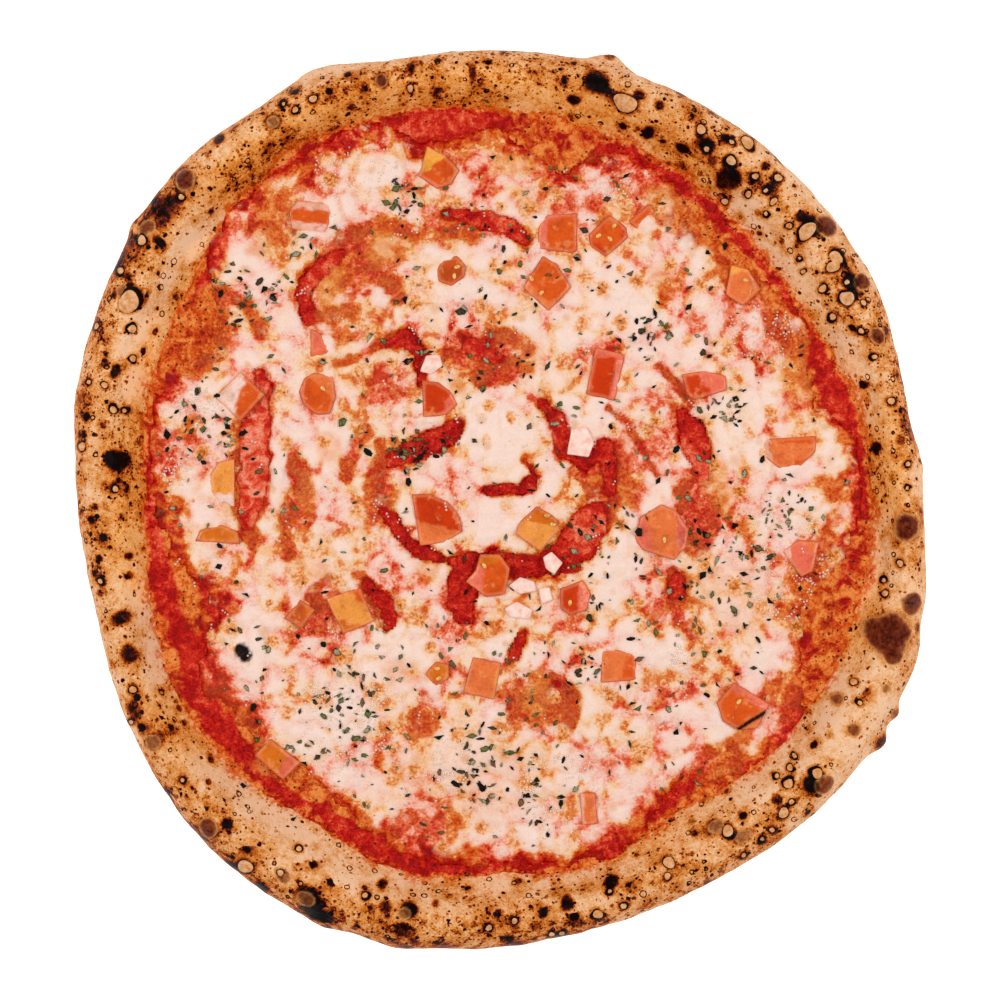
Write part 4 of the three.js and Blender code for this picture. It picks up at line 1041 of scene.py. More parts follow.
def cut_piece(node, corners, low, high, material, seed, facets=()):
    """A soft-edged block over an outline, with facets cut down from its uneven top."""
    bm = bmesh.new()
    bm.faces.new([bm.verts.new((cx, cy, low)) for cx, cy in corners])
    made = bmesh.ops.extrude_face_region(bm, geom=bm.faces[:])["geom"]
    bmesh.ops.translate(bm, vec=(0, 0, high - low), verts=vertices_in(made))
    bmesh.ops.recalc_face_normals(bm, faces=bm.faces)
    bmesh.ops.bevel(
        bm, geom=bm.edges[:], offset=CUT_SOFTNESS, segments=2, profile=0.5, affect="EDGES", material=-1,
    )
    for angle, offset, _, _ in facets:
        way = Vector((*polar(angle, 1), 0))
        start = Vector((*np.mean(corners, axis=0), 0)) + offset * way
        bmesh.ops.bisect_plane(bm, geom=bm.verts[:] + bm.edges[:] + bm.faces[:], plane_co=start, plane_no=way)
    for longest in CUT_STEPS:
        bmesh.ops.triangulate(bm, faces=bm.faces)
        long_edges = [e for e in bm.edges if e.calc_length() > longest]
        bmesh.ops.subdivide_edges(bm, edges=long_edges, cuts=1, use_grid_fill=True)
    bmesh.ops.triangulate(bm, faces=bm.faces)
    xyz = np.array([v.co for v in bm.verts])
    x, y, z = xyz.T
    share = (z - low) / (high - low)
    lift = share * CUT_BULGE * (noise(x, y, seed, 7, seed) + 0.35 * noise(x, y, seed, 2.5, seed + 1))
    for angle, offset, slope, _ in facets:
        lift -= 0.6 * share * slope * np.clip(beyond_facet(x, y, corners, angle, offset), 0, 4)
    out = 0.2 * noise(x, y, z, 4, seed + 2)
    middle = Vector(xyz.mean(axis=0))
    for v, up, push in zip(bm.verts, lift, out):
        away = (v.co - middle).normalized()
        v.co += Vector((away.x * push, away.y * push, up))
    in_metres(bm)
    return finished(node + "_cut", bm, material, node)


def tomato_pieces(material):
    for i, (node, (corners, flesh, facets)) in enumerate(TOMATOES.items()):
        low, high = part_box(node)
        top = high.z / MM - DICE_SETTLE
        piece = cut_piece(node, corners, low.z / MM, top, material, 40 + i, facets)
        x, y, _ = points_of(piece.data) / MM
        tint = np.tile(srgb(*FLESH[flesh]), (len(x), 1))
        for angle, offset, _, tone in facets:
            beyond = beyond_facet(x, y, corners, angle, offset)
            ragged = beyond + 1.3 * noise(x, y, 0, 4, 60 + i) + 0.5 * noise(x, y, 0, 1.6, 61 + i)
            tint = tint + (np.array(srgb(*FLESH[tone])) - tint) * smooth(-0.2, 0.4, ragged)[:, None]
        colours = piece.data.attributes.new("flesh", "FLOAT_COLOR", "POINT")
        colours.data.foreach_set("color", tint.astype(np.float32).ravel())
        store(piece.data, "inward", np.clip(-polygon_distance(x, y, corners), 0, 6))
        cracked = np.zeros_like(x)
        for width, path in CRACKS:
            off, _ = stroke_distance(x, y, path)
            cracked = np.maximum(cracked, 1 - smooth(0.3 * width, 0.7 * width, off))
        store(piece.data, "cracked", cracked)


def crumb_pieces(material):
    for i, (node, corners) in enumerate(CRUMBS.items()):
        low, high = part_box(node)
        cut_piece(node, corners, low.z / MM, high.z / MM, material, 80 + i)


def scatter(patches, rng, inside):
    """Random points: each patch has its middle, half-widths and count."""
    places = []
    for px, py, a, b, count in patches:
        tries = 0
        placed = 0
        while placed < count and tries < MOST_TRIES * count:
            tries += 1
            turn, out = TAU * rng.random(), math.sqrt(rng.random())
            x, y = px + a * out * math.cos(turn), py + b * out * math.sin(turn)
            if inside(x, y):
                places.append((x, y))
                placed += 1
    return places


def surface_height(x, y):
    """Top of whatever lies over a point: dough, sauce, cheese or a piece of tomato."""
    level = np.maximum(np.maximum(cheese_height(x, y), sauce_height(x, y)), dough_height(x, y))
    for name, (corners, _, _) in TOMATOES.items():
        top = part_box(name)[1].z / MM - DICE_SETTLE
        level = np.where(polygon_distance(x, y, corners) < -0.8, np.maximum(level, top), level)
    return level


def on_toppings(x, y):
    return math.hypot(x, y) < float(around(CHEESE_EDGE, np.array(math.atan2(y, x)))) + 1


def off_tomato(places, rng):
    """Most of what was strewn slid off the tomato."""
    xs, ys = np.array(places).T
    on = np.zeros(len(xs), bool)
    for corners, _, _ in TOMATOES.values():
        on |= polygon_distance(xs, ys, corners) < 0.6
    return [place for place, slid in zip(places, on) if not slid or rng.random() < STAYS_ON_TOMATO]


def leaf_shape(rng):
    """A broken flake one unit long with a dark edge of painted shade: its mesh, and which vertices lie inside
    that edge.
    """
    bm = bmesh.new()
    bmesh.ops.create_circle(bm, cap_ends=True, segments=rng.choice((3, 4, 4, 5, 6)), radius=0.5)
    for v in bm.verts:
        v.co *= rng.uniform(0.7, 1.15)
    made = bmesh.ops.extrude_face_region(bm, geom=bm.faces[:])["geom"]
    bmesh.ops.translate(bm, vec=(0, 0, 1), verts=vertices_in(made))
    top = [f for f in made if isinstance(f, bmesh.types.BMFace)]
    bmesh.ops.recalc_face_normals(bm, faces=bm.faces)
    bmesh.ops.inset_individual(bm, faces=top, thickness=0.17, depth=rng.uniform(-0.3, 0.3))
    inner = {v for f in top for v in f.verts}
    bend = rng.uniform(-1, 2.5)
    for v in bm.verts:
        v.co.z += bend * v.co.x * v.co.x
    middle = [v in inner for v in bm.verts]
    mesh = bpy.data.meshes.new("leaf")
    bm.to_mesh(mesh)
    bm.free()
    return mesh, middle


def herb_piece(material):
    rng = random.Random(5)
    shapes = [leaf_shape(rng) for _ in range(LEAF_SHAPES)]
    places = off_tomato(scatter(HERB_PATCHES, rng, on_toppings), rng)
    places += [polar(*place) for place in RIM_HERBS]
    xs, ys = np.array(places).T
    bm = bmesh.new()
    colours = []
    for (x, y), z in zip(places, surface_height(xs, ys)):
        shape, middle = rng.choice(shapes)
        length = rng.choice(LEAF_LENGTHS) * rng.uniform(0.85, 1.2)
        place = (
            Matrix.Translation((x, y, z + STREWN_LIFT))
            @ Matrix.Rotation(TAU * rng.random(), 4, "Z")
            @ Matrix.Rotation(rng.gauss(0, 0.25), 4, "Y")
            @ Matrix.Diagonal((length, length * rng.choice(LEAF_WIDTHS), rng.uniform(*LEAF_THICKNESS), 1))
        )
        shape.transform(place)
        bm.from_mesh(shape)
        shape.transform(place.inverted())
        heart, edge, _ = rng.choices(LEAVES, [leaf[2] for leaf in LEAVES])[0]
        colours += [(*(heart if m else edge), 1) for m in middle]
    for shape, _ in shapes:
        bpy.data.meshes.remove(shape)
    in_metres(bm)
    piece = finished("dried_herbs", bm, material, "cheese")
    piece.data.shade_flat()
    tint = piece.data.attributes.new("leaf", "FLOAT_COLOR", "POINT")
    tint.data.foreach_set("color", np.array(colours, np.float32).ravel())


def froth_and_glint_piece(material):
    rng = random.Random(8)
    places = []
    for x, y in off_tomato(scatter(FROTH_AND_GLINT_PATCHES, rng, on_toppings), rng):
        turn = TAU * rng.random()
        step_x, step_y = BEAD_STEP * math.cos(turn), BEAD_STEP * math.sin(turn)
        places += [(x + i * step_x, y + i * step_y) for i in range(rng.choice((1, 2, 2, 3)))]
    xs, ys = np.array(places).T
    one = bmesh.new()
    bmesh.ops.create_uvsphere(one, u_segments=10, v_segments=6, radius=1)
    bead = bpy.data.meshes.new("bead")
    one.to_mesh(bead)
    one.free()
    bm = bmesh.new()
    for (x, y), z in zip(places, surface_height(xs, ys)):
        radius = rng.uniform(*BEAD_RADIUS)
        shape = Matrix.Diagonal((radius, radius, BEAD_FLATNESS * radius, 1))
        place = Matrix.Translation((x, y, z + STREWN_LIFT)) @ shape
        bead.transform(place)
        bm.from_mesh(bead)
        bead.transform(place.inverted())
    bpy.data.meshes.remove(bead)
    in_metres(bm)
    finished("froth_beads_and_painted_glints", bm, material, "cheese")


def seed_piece(material):
    rng = random.Random(3)
    xs, ys = np.array(SEEDS).T
    bm = bmesh.new()
    for x, y, z in zip(xs, ys, surface_height(xs, ys)):
        made = bmesh.ops.create_icosphere(bm, subdivisions=2, radius=0.5)["verts"]
        place = (
            Matrix.Translation((x, y, z + SEED_LIFT))
            @ Matrix.Rotation(TAU * rng.random(), 4, "Z")
            @ Matrix.Diagonal((*SEED_SIZE, 1))
        )
        bmesh.ops.transform(bm, matrix=place, verts=made)
    in_metres(bm)
    finished("tomato_seeds", bm, material, "tomato_06")


# ---- materials -------------------------------------------------------------------------------------------


def srgb(*colour):
    """A colour given as 0 to 255 screen values, as Blender's linear values."""
    linear = [(c / 255 / 12.92) if c <= 10 else ((c / 255 + 0.055) / 1.055) ** 2.4 for c in colour]
    return (*linear, 1)


def node(tree, kind, inputs=None, **settings):
    made = tree.nodes.new("ShaderNode" + kind)
    for key, value in settings.items():
        setattr(made, key, value)
    for key, value in (inputs or {}).items():
        socket = made.inputs[key]
        if isinstance(value, bpy.types.NodeSocket):
            tree.links.new(value, socket)
        else:
            socket.default_value = value
    return made


def mixed(tree, amount, first, second, blend="MIX"):
    made = node(tree, "Mix", {0: amount, 6: first, 7: second}, data_type="RGBA", blend_type=blend)
    return made.outputs[2]


def math_of(tree, operation, first, second=0.5):
    return node(tree, "Math", {0: first, 1: second}, operation=operation).outputs[0]


def step(tree, value, low, high, out_low=0.0, out_high=1.0):
    """Runs smoothly from out_low to out_high as value goes from low to high."""
    inputs = {"Value": value, "From Min": low, "From Max": high, "To Min": out_low, "To Max": out_high}
    return node(tree, "MapRange", inputs, interpolation_type="SMOOTHSTEP").outputs[0]


def tones(tree, value, stops):
    """A colour that runs through the stops: each one's place from 0 to 1 and its screen values."""
    made = node(tree, "ValToRGB", {"Fac": value})
    elements = made.color_ramp.elements
    while len(elements) < len(stops):
        elements.new(0.5)
    for element, (at, colour) in zip(elements, stops):
        element.position = at
        element.color = srgb(*colour)
    return made.outputs[0]


def stored(tree, name):
    return node(tree, "Attribute", attribute_name=name).outputs["Fac"]


def grain_of(tree, coord, size_mm, detail=2.0, rough=0.5, swirl=0.0):
    """Noise whose bumps are size_mm across, drawn out into swirls."""
    inputs = {
        "Vector": coord, "Scale": 1000 / size_mm, "Detail": detail, "Roughness": rough, "Distortion": swirl,
    }
    return node(tree, "TexNoise", inputs).outputs[0]


def sway(tree, grain, low, high):
    """A noise's usual spread, 0.3 to 0.7, as values from low to high."""
    return step(tree, grain, 0.3, 0.7, low, high)


def spot_group():
    """Spots and rings, at most one in each cell of a jumbled grid, of uneven size."""
    tree = bpy.data.node_groups.new("baked_spots", "ShaderNodeTree")
    tree.interface.new_socket("Vector", in_out="INPUT", socket_type="NodeSocketVector")
    for name in ("Cell", "Radius", "Share"):
        tree.interface.new_socket(name, in_out="INPUT", socket_type="NodeSocketFloat")
    for name in ("Spot", "Dot", "Ring"):
        tree.interface.new_socket(name, in_out="OUTPUT", socket_type="NodeSocketFloat")
    given = tree.nodes.new("NodeGroupInput").outputs
    put = tree.nodes.new("NodeGroupOutput").inputs
    bent = node(tree, "TexNoise", {"Vector": given["Vector"], "Scale": 800.0, "Detail": 1.0})
    offset = node(tree, "VectorMath", {0: bent.outputs["Color"], "Scale": 0.0009}, operation="SCALE")
    moved = node(tree, "VectorMath", {0: given["Vector"], 1: offset.outputs[0]}, operation="ADD")
    scale = math_of(tree, "DIVIDE", 1000.0, given["Cell"])
    cells = node(tree, "TexVoronoi", {"Vector": moved.outputs[0], "Scale": scale, "Randomness": 1.0})
    chance = node(tree, "SeparateColor", {"Color": cells.outputs["Color"]})
    size = math_of(tree, "MULTIPLY", given["Radius"], math_of(tree, "ADD", chance.outputs["Green"], 0.45))
    distance = math_of(tree, "MULTIPLY", cells.outputs["Distance"], given["Cell"])
    kept = math_of(tree, "LESS_THAN", chance.outputs["Red"], given["Share"])
    share_out = math_of(tree, "DIVIDE", distance, size)
    spot = step(tree, share_out, 1.3, 0.3)
    tree.links.new(math_of(tree, "MULTIPLY", spot, kept), put["Spot"])
    darkness = step(tree, chance.outputs["Blue"], 0.0, 1.0, 0.45, 1.0)
    dot = math_of(tree, "MULTIPLY", step(tree, share_out, 1.2, 0.7), darkness)
    tree.links.new(math_of(tree, "MULTIPLY", dot, kept), put["Dot"])
    off = math_of(tree, "ABSOLUTE", math_of(tree, "SUBTRACT", distance, size))
    line = step(tree, off, 0.3, 0.08)
    tree.links.new(math_of(tree, "MULTIPLY", line, kept), put["Ring"])
    return tree


def spots(tree, group, coord, cell, radius, share, output="Spot"):
    """Spots of a radius in mm, one in each cell of so many mm with a given share of the cells filled."""
    made = tree.nodes.new("ShaderNodeGroup")
    made.node_tree = group
    tree.links.new(coord, made.inputs["Vector"])
    for key, value in {"Cell": cell, "Radius": radius, "Share": share}.items():
        if isinstance(value, bpy.types.NodeSocket):
            tree.links.new(value, made.inputs[key])
        else:
            made.inputs[key].default_value = value
    return made.outputs[output]


def new_material(name, **sockets):
    material = bpy.data.materials.new(name)
    material.use_nodes = True
    tree = material.node_tree
    shader = tree.nodes["Principled BSDF"]
    for key, value in sockets.items():
        shader.inputs[key.replace("_", " ")].default_value = value
    coord = node(tree, "TexCoord").outputs["Object"]
    return material, tree, shader, coord


def bumped(tree, shader, height, depth_mm, strength):
    made = node(tree, "Bump", {"Height": height, "Strength": strength, "Distance": depth_mm * MM})
    tree.links.new(made.outputs[0], shader.inputs["Normal"])


def times(tree, value, amount):
    return math_of(tree, "MULTIPLY", value, amount)


def add(tree, *terms):
    """The sum of the terms, each a value or a value with its weight."""
    total, *others = [times(tree, *term) if isinstance(term, tuple) else term for term in terms]
    for term in others:
        total = math_of(tree, "ADD", total, term)
    return total


# How dough browns, from pale to burnt.
BAKE = [
    (0.0, (241, 195, 157)), (0.12, (236, 181, 133)), (0.3, (221, 149, 84)), (0.45, (205, 118, 40)),
    (0.6, (166, 70, 10)), (0.75, (108, 30, 4)), (0.88, (50, 9, 3)), (1.0, (10, 1, 0)),
]
# The same where oil ran over it.
GILT = [
    (0.0, (248, 190, 128)), (0.12, (243, 174, 100)), (0.3, (229, 145, 63)), (0.45, (208, 112, 30)),
    (0.6, (166, 66, 8)), (0.75, (106, 28, 3)), (0.88, (50, 9, 3)), (1.0, (10, 1, 0)),
]
# Toppings from bare sauce to thick cheese, where they are pink and where they are golden.
PINK = [
    (0.0, (154, 0, 0)), (0.12, (186, 10, 0)), (0.26, (211, 42, 16)), (0.4, (238, 100, 64)),
    (0.52, (249, 148, 118)), (0.64, (251, 182, 162)), (0.8, (247, 204, 188)), (1.0, (246, 215, 200)),
]
GOLD = [
    (0.0, (168, 12, 0)), (0.12, (192, 42, 0)), (0.26, (214, 78, 8)), (0.4, (233, 120, 34)),
    (0.52, (244, 156, 78)), (0.64, (247, 186, 130)), (0.8, (247, 206, 174)), (1.0, (247, 216, 200)),
]
# Sauce cooked down to a crust.
TOASTY = [(0.0, (136, 22, 0)), (0.3, (192, 54, 2)), (0.6, (216, 88, 14)), (1.0, (238, 140, 64))]
# Skin of a brown blister, from its faint edge to its middle.
BLISTER_SKIN = [
    (0.3, (206, 142, 84)), (0.55, (158, 92, 46)), (0.78, (120, 50, 24)), (0.95, (88, 24, 10)),
    (1.0, (66, 12, 5)),
]
# Amber patches, orange oil and the golden-brown crust of the cheese.
AMBER_TONES = [(0.3, (226, 112, 30)), (0.5, (236, 144, 62)), (0.7, (245, 178, 104))]
OIL_TONES = [(0.3, (196, 66, 14)), (0.5, (214, 92, 32)), (0.7, (232, 128, 70))]
SPONGE_TONES = [
    (0.3, (168, 70, 0)), (0.4, (212, 108, 18)), (0.5, (234, 146, 62)), (0.62, (246, 184, 132)),
    (0.8, (247, 206, 180)),
]


def grained(tree, coord, colour, amount):
    """The colour with a fine grain in it."""
    grain = grain_of(tree, coord, 0.75, 2.0, 0.6)
    shade = tones(tree, grain, [(0.34, (205, 205, 205)), (0.56, (255, 255, 255))])
    return mixed(tree, amount, colour, shade, "MULTIPLY")


def crust_material(group):
    material, tree, shader, coord = new_material("baked_dough", Specular_IOR_Level=0.05)
    toast, pale, run, char, blister, ring, skin, stain, outer = (
        stored(tree, n) for n in ("toast", "pale", "run", "char", "blister", "ring", "skin", "stain", "outer")
    )
    broad = grain_of(tree, coord, 14, 3.0)
    middle = grain_of(tree, coord, 5, 3.0, 0.6)
    fine = grain_of(tree, coord, 1.6, 3.0, 0.6)
    grain = grain_of(tree, coord, 0.6, 2.0)
    crackle = grain_of(tree, coord, 2.6, 4.0, 0.7)
    # the outer wall is browned a little more: partly real browning, partly a painted shade where the wall
    # curves away from the lamps
    bake = add(
        tree, 0.13, (toast, 0.13), (run, 0.03), (pale, -0.12), (outer, 0.07), sway(tree, broad, -0.1, 0.12),
        sway(tree, middle, -0.08, 0.1), sway(tree, fine, -0.08, 0.1), sway(tree, grain, -0.1, 0.1),
    )
    crowd = add(
        tree, step(tree, toast, 0.0, 0.9, 0.0, 0.3), step(tree, broad, 0.42, 0.6, 0.0, 0.2), (stain, 0.25),
        (run, 0.08), (pale, -0.16), (outer, 0.12),
    )
    pin = spots(tree, group, coord, 1.3, 0.34, add(tree, crowd, 0.36), "Dot")
    small = spots(tree, group, coord, 2.6, 0.6, add(tree, crowd, 0.28), "Dot")
    spot = spots(tree, group, coord, 6, 1.2, add(tree, crowd, 0.3), "Dot")
    halo = spots(tree, group, coord, 6, 3.0, add(tree, crowd, 0.3))
    blotch = spots(tree, group, coord, 13, 5, 0.6)
    circle = spots(tree, group, coord, 4.4, 0.8, 0.42, "Ring")
    # dense flecks where the dough is well toasted
    flecked = step(tree, add(tree, crackle, (toast, 0.12), (stain, 0.1)), 0.62, 0.74)
    bake = add(
        tree, bake, (pin, 0.66), (small, 0.74), (spot, 0.66), (halo, 0.26),
        (blotch, 0.18), (circle, 0.85), (flecked, 0.36),
    )
    bake = add(tree, bake, (char, 0.84))
    # ring blisters: thin pale skin inside a charred outline
    rough = sway(tree, grain_of(tree, coord, 2.0), -0.16, 0.16)
    line = step(tree, add(tree, ring, rough), 0.28, 0.06)
    line = times(tree, line, step(tree, skin, -0.06, 0.1))
    inside = step(tree, skin, 0.05, -0.15)
    bake = add(tree, bake, (step(tree, ring, 1.5, 0.1), 0.34))
    colour = tones(tree, bake, BAKE)
    gilt = add(tree, (run, 0.85), (toast, 0.25), (stain, 0.3))
    colour = mixed(tree, step(tree, gilt, 0.0, 1.0), colour, tones(tree, bake, GILT))
    # sauce and oil soaked into the foot of the rim
    soaked = times(tree, stain, add(tree, (run, 0.5), 0.5))
    soaked = times(tree, soaked, step(tree, fine, 0.35, 0.65, 0.3, 0.95))
    soaked = times(tree, soaked, step(tree, bake, 0.6, 0.35, 0.1, 1.0))
    colour = mixed(tree, soaked, colour, tones(tree, add(tree, middle, 0.1), TOASTY))
    reddened = step(tree, add(tree, stain, sway(tree, fine, -0.3, 0.3)), 0.5, 0.92)
    colour = mixed(tree, times(tree, reddened, 0.8), colour, tones(tree, fine, TOASTY))
    # where this field goes past 1 the dough is made lighter than its palest tone: painted light on the shaded
    # inner slope
    colour = mixed(tree, step(tree, pale, 1.0, 1.5), colour, (1.15, 1.13, 1.1, 1), "MULTIPLY")
    floury = times(tree, outer, step(tree, bake, 0.5, 0.2, 0.0, 0.3))
    colour = mixed(tree, floury, colour, srgb(214, 170, 142))
    mottled = add(tree, blister, step(tree, add(tree, fine, (middle, 0.7)), 0.5, 1.2, 0.2, -0.2))
    skinned = times(tree, step(tree, blister, 0.05, 0.5), step(tree, char, 0.95, 0.7, 0.2, 0.96))
    colour = mixed(tree, skinned, colour, tones(tree, mottled, BLISTER_SKIN))
    colour = mixed(tree, times(tree, blister, times(tree, pin, 0.7)), colour, srgb(24, 4, 2))
    colour = mixed(tree, times(tree, inside, 0.85), colour, tones(tree, add(tree, fine, -0.3), BAKE))
    colour = mixed(tree, line, colour, srgb(12, 4, 3))
    tree.links.new(colour, shader.inputs["Base Color"])
    tree.links.new(step(tree, bake, 0.5, 1.0, 0.6, 0.42), shader.inputs["Roughness"])
    height = add(tree, (fine, 0.6), (grain, 0.3), (bake, -0.15))
    bumped(tree, shader, height, 0.6, 0.7)
    return material


def toasted_tone(tree, swirl, fine):
    """Cooked-down sauce: orange to brown, mottled."""
    return tones(tree, add(tree, sway(tree, swirl, 0.15, 1.05), sway(tree, fine, -0.25, 0.3)), TOASTY)


def sauce_material(group):
    material, tree, shader, coord = new_material("cooked_sauce", Roughness=0.28, Specular_IOR_Level=0.1)
    deep, toast, film, red = (stored(tree, n) for n in ("deep", "toast", "film", "red"))
    swirl = grain_of(tree, coord, 6, 4.0, 0.6, 0.8)
    fine = grain_of(tree, coord, 1.5, 3.0, 0.65)
    grain = grain_of(tree, coord, 0.7, 2.0)
    unevenness = add(
        tree, sway(tree, swirl, -0.14, 0.14), sway(tree, fine, -0.1, 0.1), sway(tree, grain, -0.06, 0.06),
    )
    # a veil of molten cheese makes the sauce pink and smooth
    unevenness = times(tree, unevenness, add(tree, (film, -0.55), 1.0))
    depth = add(tree, 0.13, unevenness, (film, step(tree, swirl, 0.35, 0.6, 0.16, 0.33)))
    colour = tones(tree, depth, PINK)
    lost = add(tree, (red, -1.0), 1.0)
    browned = add(
        tree, (step(tree, deep, 0.5, 0.05), add(tree, (lost, 0.5), step(tree, fine, 0.35, 0.6, 0.2, 0.6))),
        (times(tree, toast, step(tree, swirl, 0.3, 0.55, 0.5, 1.0)), step(tree, red, 0.2, 1.0, 1.0, 0.2)),
        (lost, step(tree, swirl, 0.3, 0.6, 0.25, 1.0)),
    )
    colour = mixed(tree, step(tree, browned, 0.25, 0.75), colour, toasted_tone(tree, swirl, fine))
    share = add(tree, step(tree, browned, 0.2, 0.9, 0.04, 0.55), step(tree, deep, 0.9, 0.1, 0.0, 0.3))
    speck = spots(tree, group, coord, 1.5, 0.36, share, "Dot")
    colour = mixed(tree, speck, colour, srgb(44, 6, 1))
    tree.links.new(grained(tree, coord, colour, 0.4), shader.inputs["Base Color"])
    bumped(tree, shader, add(tree, fine, (swirl, 0.8)), 1.0, 0.9)
    return material


def cheese_material(group):
    material, tree, shader, coord = new_material("melted_cheese", Specular_IOR_Level=0.12)
    thick, golden, burnt, oily, near_rim, amber, rosy, toast = (
        stored(tree, n) for n in ("thick", "golden", "burnt", "oily", "near_rim", "amber", "rosy", "toast")
    )
    swirl = grain_of(tree, coord, 8, 4.0, 0.62, 0.9)
    hue = grain_of(tree, coord, 13, 3.0, 0.6)
    middle = grain_of(tree, coord, 3.0, 3.0, 0.6)
    fine = grain_of(tree, coord, 1.1, 3.0, 0.65)
    veil = add(
        tree, sway(tree, swirl, -0.7, 0.65), sway(tree, middle, -0.35, 0.32), sway(tree, fine, -0.26, 0.24),
    )
    # thick cheese hides what lies under it, a thin film lets it show
    depth = add(tree, thick, (veil, step(tree, thick, 1.3, 2.9, 1.0, 0.1)))
    depth = math_of(tree, "DIVIDE", depth, 2.8)
    gilded = add(
        tree, step(tree, hue, 0.42, 0.58), sway(tree, fine, -0.3, 0.3), (rosy, -1.0), (amber, 0.6),
    )
    colour = mixed(tree, step(tree, gilded, 0.0, 1.0), tones(tree, depth, PINK), tones(tree, depth, GOLD))
    stained = times(tree, amber, step(tree, swirl, 0.35, 0.6, 0.55, 0.9))
    colour = mixed(tree, stained, colour, tones(tree, middle, AMBER_TONES))
    oil = times(tree, oily, step(tree, swirl, 0.62, 0.36))
    colour = mixed(tree, times(tree, oil, 0.85), colour, tones(tree, fine, OIL_TONES))
    # a thin line of orange oil lies along the edge of the thick cheese
    edge = times(tree, step(tree, depth, 0.3, 0.42), step(tree, depth, 0.6, 0.48))
    colour = mixed(tree, times(tree, edge, step(tree, hue, 0.4, 0.6, 0.15, 0.6)), colour, srgb(222, 112, 52))
    # golden dots on the thick cheese, and golden crusts
    dots = spots(tree, group, coord, 7.5, 1.7, 0.62)
    colour = mixed(tree, times(tree, dots, step(tree, depth, 0.5, 0.9, 0.1, 0.5)), colour, srgb(224, 152, 76))
    freckle = times(tree, spots(tree, group, coord, 8.5, 2.6, 0.65), step(tree, swirl, 0.4, 0.56, 0.15, 1.0))
    brown = math_of(tree, "MAXIMUM", golden, times(tree, freckle, step(tree, rosy, 0.0, 0.8, 0.75, 0.15)))
    sponge = tones(tree, add(tree, fine, (middle, 0.5), (brown, -0.3)), SPONGE_TONES)
    colour = mixed(tree, step(tree, brown, 0.05, 0.75, 0.0, 0.92), colour, sponge)
    crusted = step(tree, times(tree, toast, step(tree, swirl, 0.3, 0.55, 0.5, 1.0)), 0.1, 0.8)
    crusted = times(tree, crusted, step(tree, thick, 3.2, 1.6, 0.35, 0.95))
    colour = mixed(tree, crusted, colour, toasted_tone(tree, swirl, fine))
    share = times(tree, near_rim, step(tree, add(tree, oil, brown), 0.2, 1.0, 0.04, 0.3))
    speck = spots(tree, group, coord, 1.5, 0.34, add(tree, share, (crusted, 0.4)), "Dot")
    colour = mixed(tree, speck, colour, srgb(46, 12, 4))
    colour = mixed(tree, step(tree, burnt, 0.1, 0.8), colour, srgb(24, 5, 2))
    colour = grained(tree, coord, colour, step(tree, depth, 0.4, 0.95, 0.6, 0.15))
    tree.links.new(colour, shader.inputs["Base Color"])
    tree.links.new(sway(tree, middle, 0.14, 0.34), shader.inputs["Roughness"])
    height = times(tree, add(tree, middle, (fine, 0.6)), step(tree, thick, 1.5, 3.0, 1.0, 0.3))
    bumped(tree, shader, height, 1.0, 0.8)
    return material


def tomato_material():
    material, tree, shader, coord = new_material("tomato_flesh", Roughness=0.14, Specular_IOR_Level=0.15)
    flesh = node(tree, "Attribute", attribute_name="flesh").outputs["Color"]
    inward = stored(tree, "inward")
    broad = grain_of(tree, coord, 6, 2.0)
    fine = grain_of(tree, coord, 1.4, 3.0, 0.6)
    shade = tones(tree, broad, [(0.3, (228, 214, 200)), (0.5, (250, 246, 240)), (0.7, (255, 255, 255))])
    colour = mixed(tree, 1.0, flesh, shade, "MULTIPLY")
    # a lighter band just inside the cut edges is a painted highlight, and the dark line at the very edge a
    # painted shade
    colour = mixed(tree, step(tree, inward, 0.6, 1.7, 0.35, 0.0), colour, srgb(245, 150, 104))
    colour = mixed(tree, step(tree, inward, 0.0, 0.6, 0.5, 0.0), colour, srgb(196, 66, 18))
    patches = grain_of(tree, coord, 3.5, 3.0, 0.6)
    colour = mixed(tree, step(tree, patches, 0.42, 0.3, 0.0, 0.35), colour, srgb(188, 50, 8))
    colour = mixed(tree, step(tree, patches, 0.56, 0.68, 0.0, 0.4), colour, srgb(250, 160, 98))
    colour = mixed(tree, stored(tree, "cracked"), colour, srgb(30, 4, 2))
    tree.links.new(grained(tree, coord, colour, 0.4), shader.inputs["Base Color"])
    bumped(tree, shader, add(tree, (broad, 0.8), (fine, 0.25)), 0.6, 0.6)
    return material


def seed_material():
    material, tree, shader, coord = new_material("tomato_seed", Roughness=0.25)
    fine = grain_of(tree, coord, 1.0, 2.0)
    colour = tones(tree, fine, [(0.35, (214, 140, 52)), (0.6, (240, 190, 104))])
    tree.links.new(colour, shader.inputs["Base Color"])
    return material


def crumb_material():
    material, tree, shader, coord = new_material("white_cheese", Roughness=0.3, Specular_IOR_Level=0.2)
    fine = grain_of(tree, coord, 2.2, 3.0)
    colour = tones(tree, fine, [(0.3, (244, 178, 160)), (0.5, (248, 208, 192)), (0.7, (250, 224, 210))])
    tree.links.new(colour, shader.inputs["Base Color"])
    bumped(tree, shader, fine, 0.5, 0.5)
    return material


def herb_material():
    material, tree, shader, coord = new_material("dried_leaf", Roughness=0.5, Specular_IOR_Level=0.07)
    leaf = node(tree, "Attribute", attribute_name="leaf").outputs["Color"]
    fine = grain_of(tree, coord, 0.7, 2.0)
    colour = mixed(tree, step(tree, fine, 0.4, 0.7, 0.0, 0.6), leaf, srgb(10, 6, 4))
    tree.links.new(colour, shader.inputs["Base Color"])
    bumped(tree, shader, fine, 0.3, 0.6)
    return material


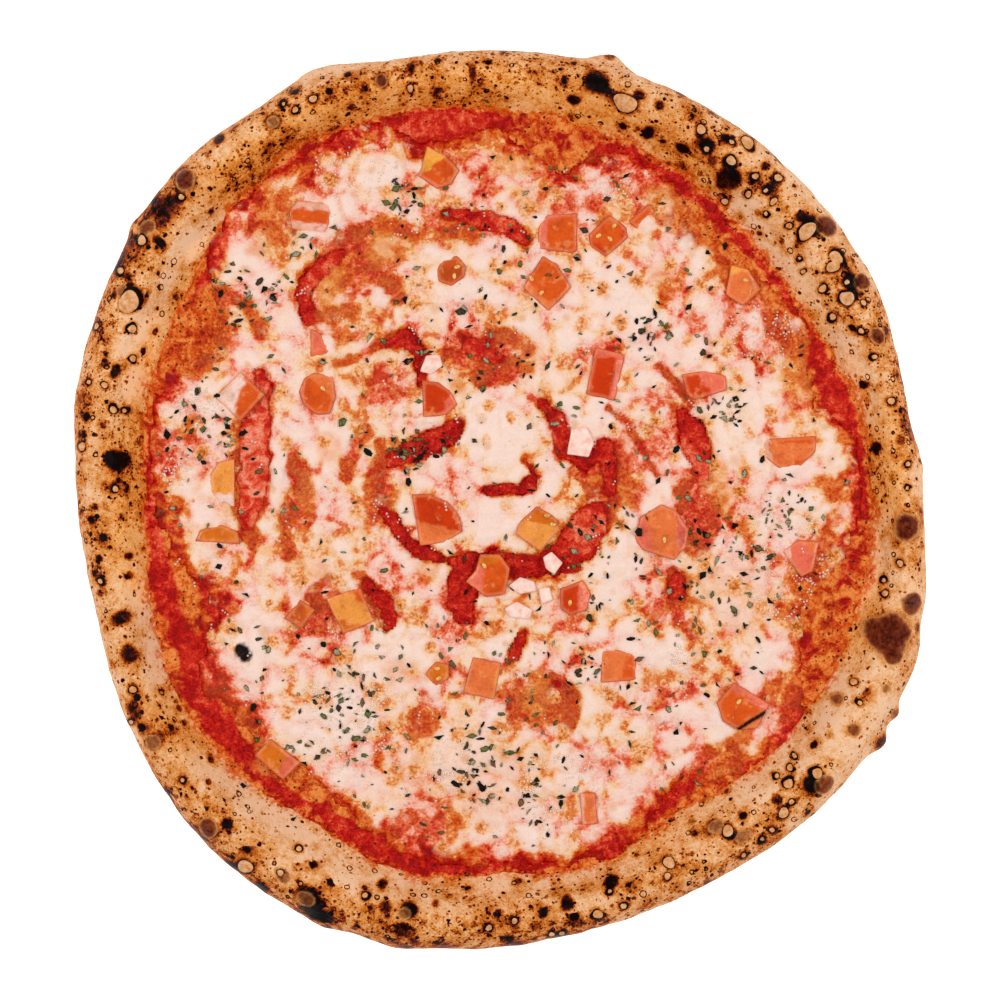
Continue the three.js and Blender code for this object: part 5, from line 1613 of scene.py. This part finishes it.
def froth_and_glint_material():
    material, tree, shader, coord = new_material(
        "froth_and_painted_glints", Roughness=0.12, Alpha=0.6, Coat_Weight=1.0, Coat_IOR=1.8, Coat_Roughness=0.1,
    )
    fine = grain_of(tree, coord, 3, 2.0)
    # near-white beads: froth, and also a painted glint on the cheese
    colour = tones(tree, fine, [(0.35, (254, 226, 200)), (0.5, (255, 238, 220)), (0.65, (255, 246, 234))])
    tree.links.new(colour, shader.inputs["Base Color"])
    return material


# ---- stage -----------------------------------------------------------------------------------------------

# Metres from here on. The camera sees VIEW_WIDTH across at the height of the outline.
VIEW_WIDTH = 0.350
OUTLINE_HEIGHT = 0.009
LENS = 100.0
SENSOR = 36.0
SOFTBOX_PLACES = {"softbox_left": (-0.62, 0.1, 0.95), "softbox_right": (0.62, 0.1, 0.95)}
SOFTBOX_SIZE = 0.4
SOFTBOX_POWER = 4.3
FILL = 0.5
TABLE_GLOW = 0.75
TABLE_REACH = 3


def camera():
    data = bpy.data.cameras.new("from_above")
    data.lens = LENS
    data.sensor_width = SENSOR
    placed = bpy.data.objects.new("from_above", data)
    placed.location = (0, 0, OUTLINE_HEIGHT + VIEW_WIDTH * LENS / SENSOR)
    bpy.context.scene.collection.objects.link(placed)
    bpy.context.scene.camera = placed


def softbox(name, place):
    data = bpy.data.lights.new(name, "AREA")
    data.shape = "SQUARE"
    data.size = SOFTBOX_SIZE
    data.energy = SOFTBOX_POWER
    placed = bpy.data.objects.new(name, data)
    placed.location = place
    placed.rotation_euler = (-Vector(place)).to_track_quat("-Z", "Y").to_euler()
    bpy.context.scene.collection.objects.link(placed)


def floor():
    bm = bmesh.new()
    bmesh.ops.create_grid(bm, x_segments=4, y_segments=4, size=TABLE_REACH)
    mesh = bpy.data.meshes.new("table")
    bm.to_mesh(mesh)
    bm.free()
    material, tree, shader, coord = new_material("white_paper", Roughness=0.8, Emission_Strength=TABLE_GLOW)
    fibre = grain_of(tree, coord, 40, 2.0)
    colour = tones(tree, fibre, [(0.4, (246, 246, 246)), (0.6, (250, 250, 250))])
    tree.links.new(colour, shader.inputs["Base Color"])
    tree.links.new(colour, shader.inputs["Emission Color"])
    mesh.materials.append(material)
    placed = bpy.data.objects.new("table", mesh)
    bpy.context.scene.collection.objects.link(placed)


def world():
    made = bpy.data.worlds.new("studio")
    made.use_nodes = True
    background = made.node_tree.nodes["Background"]
    background.inputs["Color"].default_value = (1, 1, 1, 1)
    background.inputs["Strength"].default_value = FILL
    bpy.context.scene.world = made
    bpy.context.scene.view_settings.view_transform = "Standard"


camera()
world()
for softbox_name, softbox_place in SOFTBOX_PLACES.items():
    softbox(softbox_name, softbox_place)
floor()

baked_spots = spot_group()
crust_piece(crust_material(baked_spots))
sauce_piece(sauce_material(baked_spots))
cheese_piece(cheese_material(baked_spots))
tomato_pieces(tomato_material())
seed_piece(seed_material())
crumb_pieces(crumb_material())
herb_piece(herb_material())
froth_and_glint_piece(froth_and_glint_material())
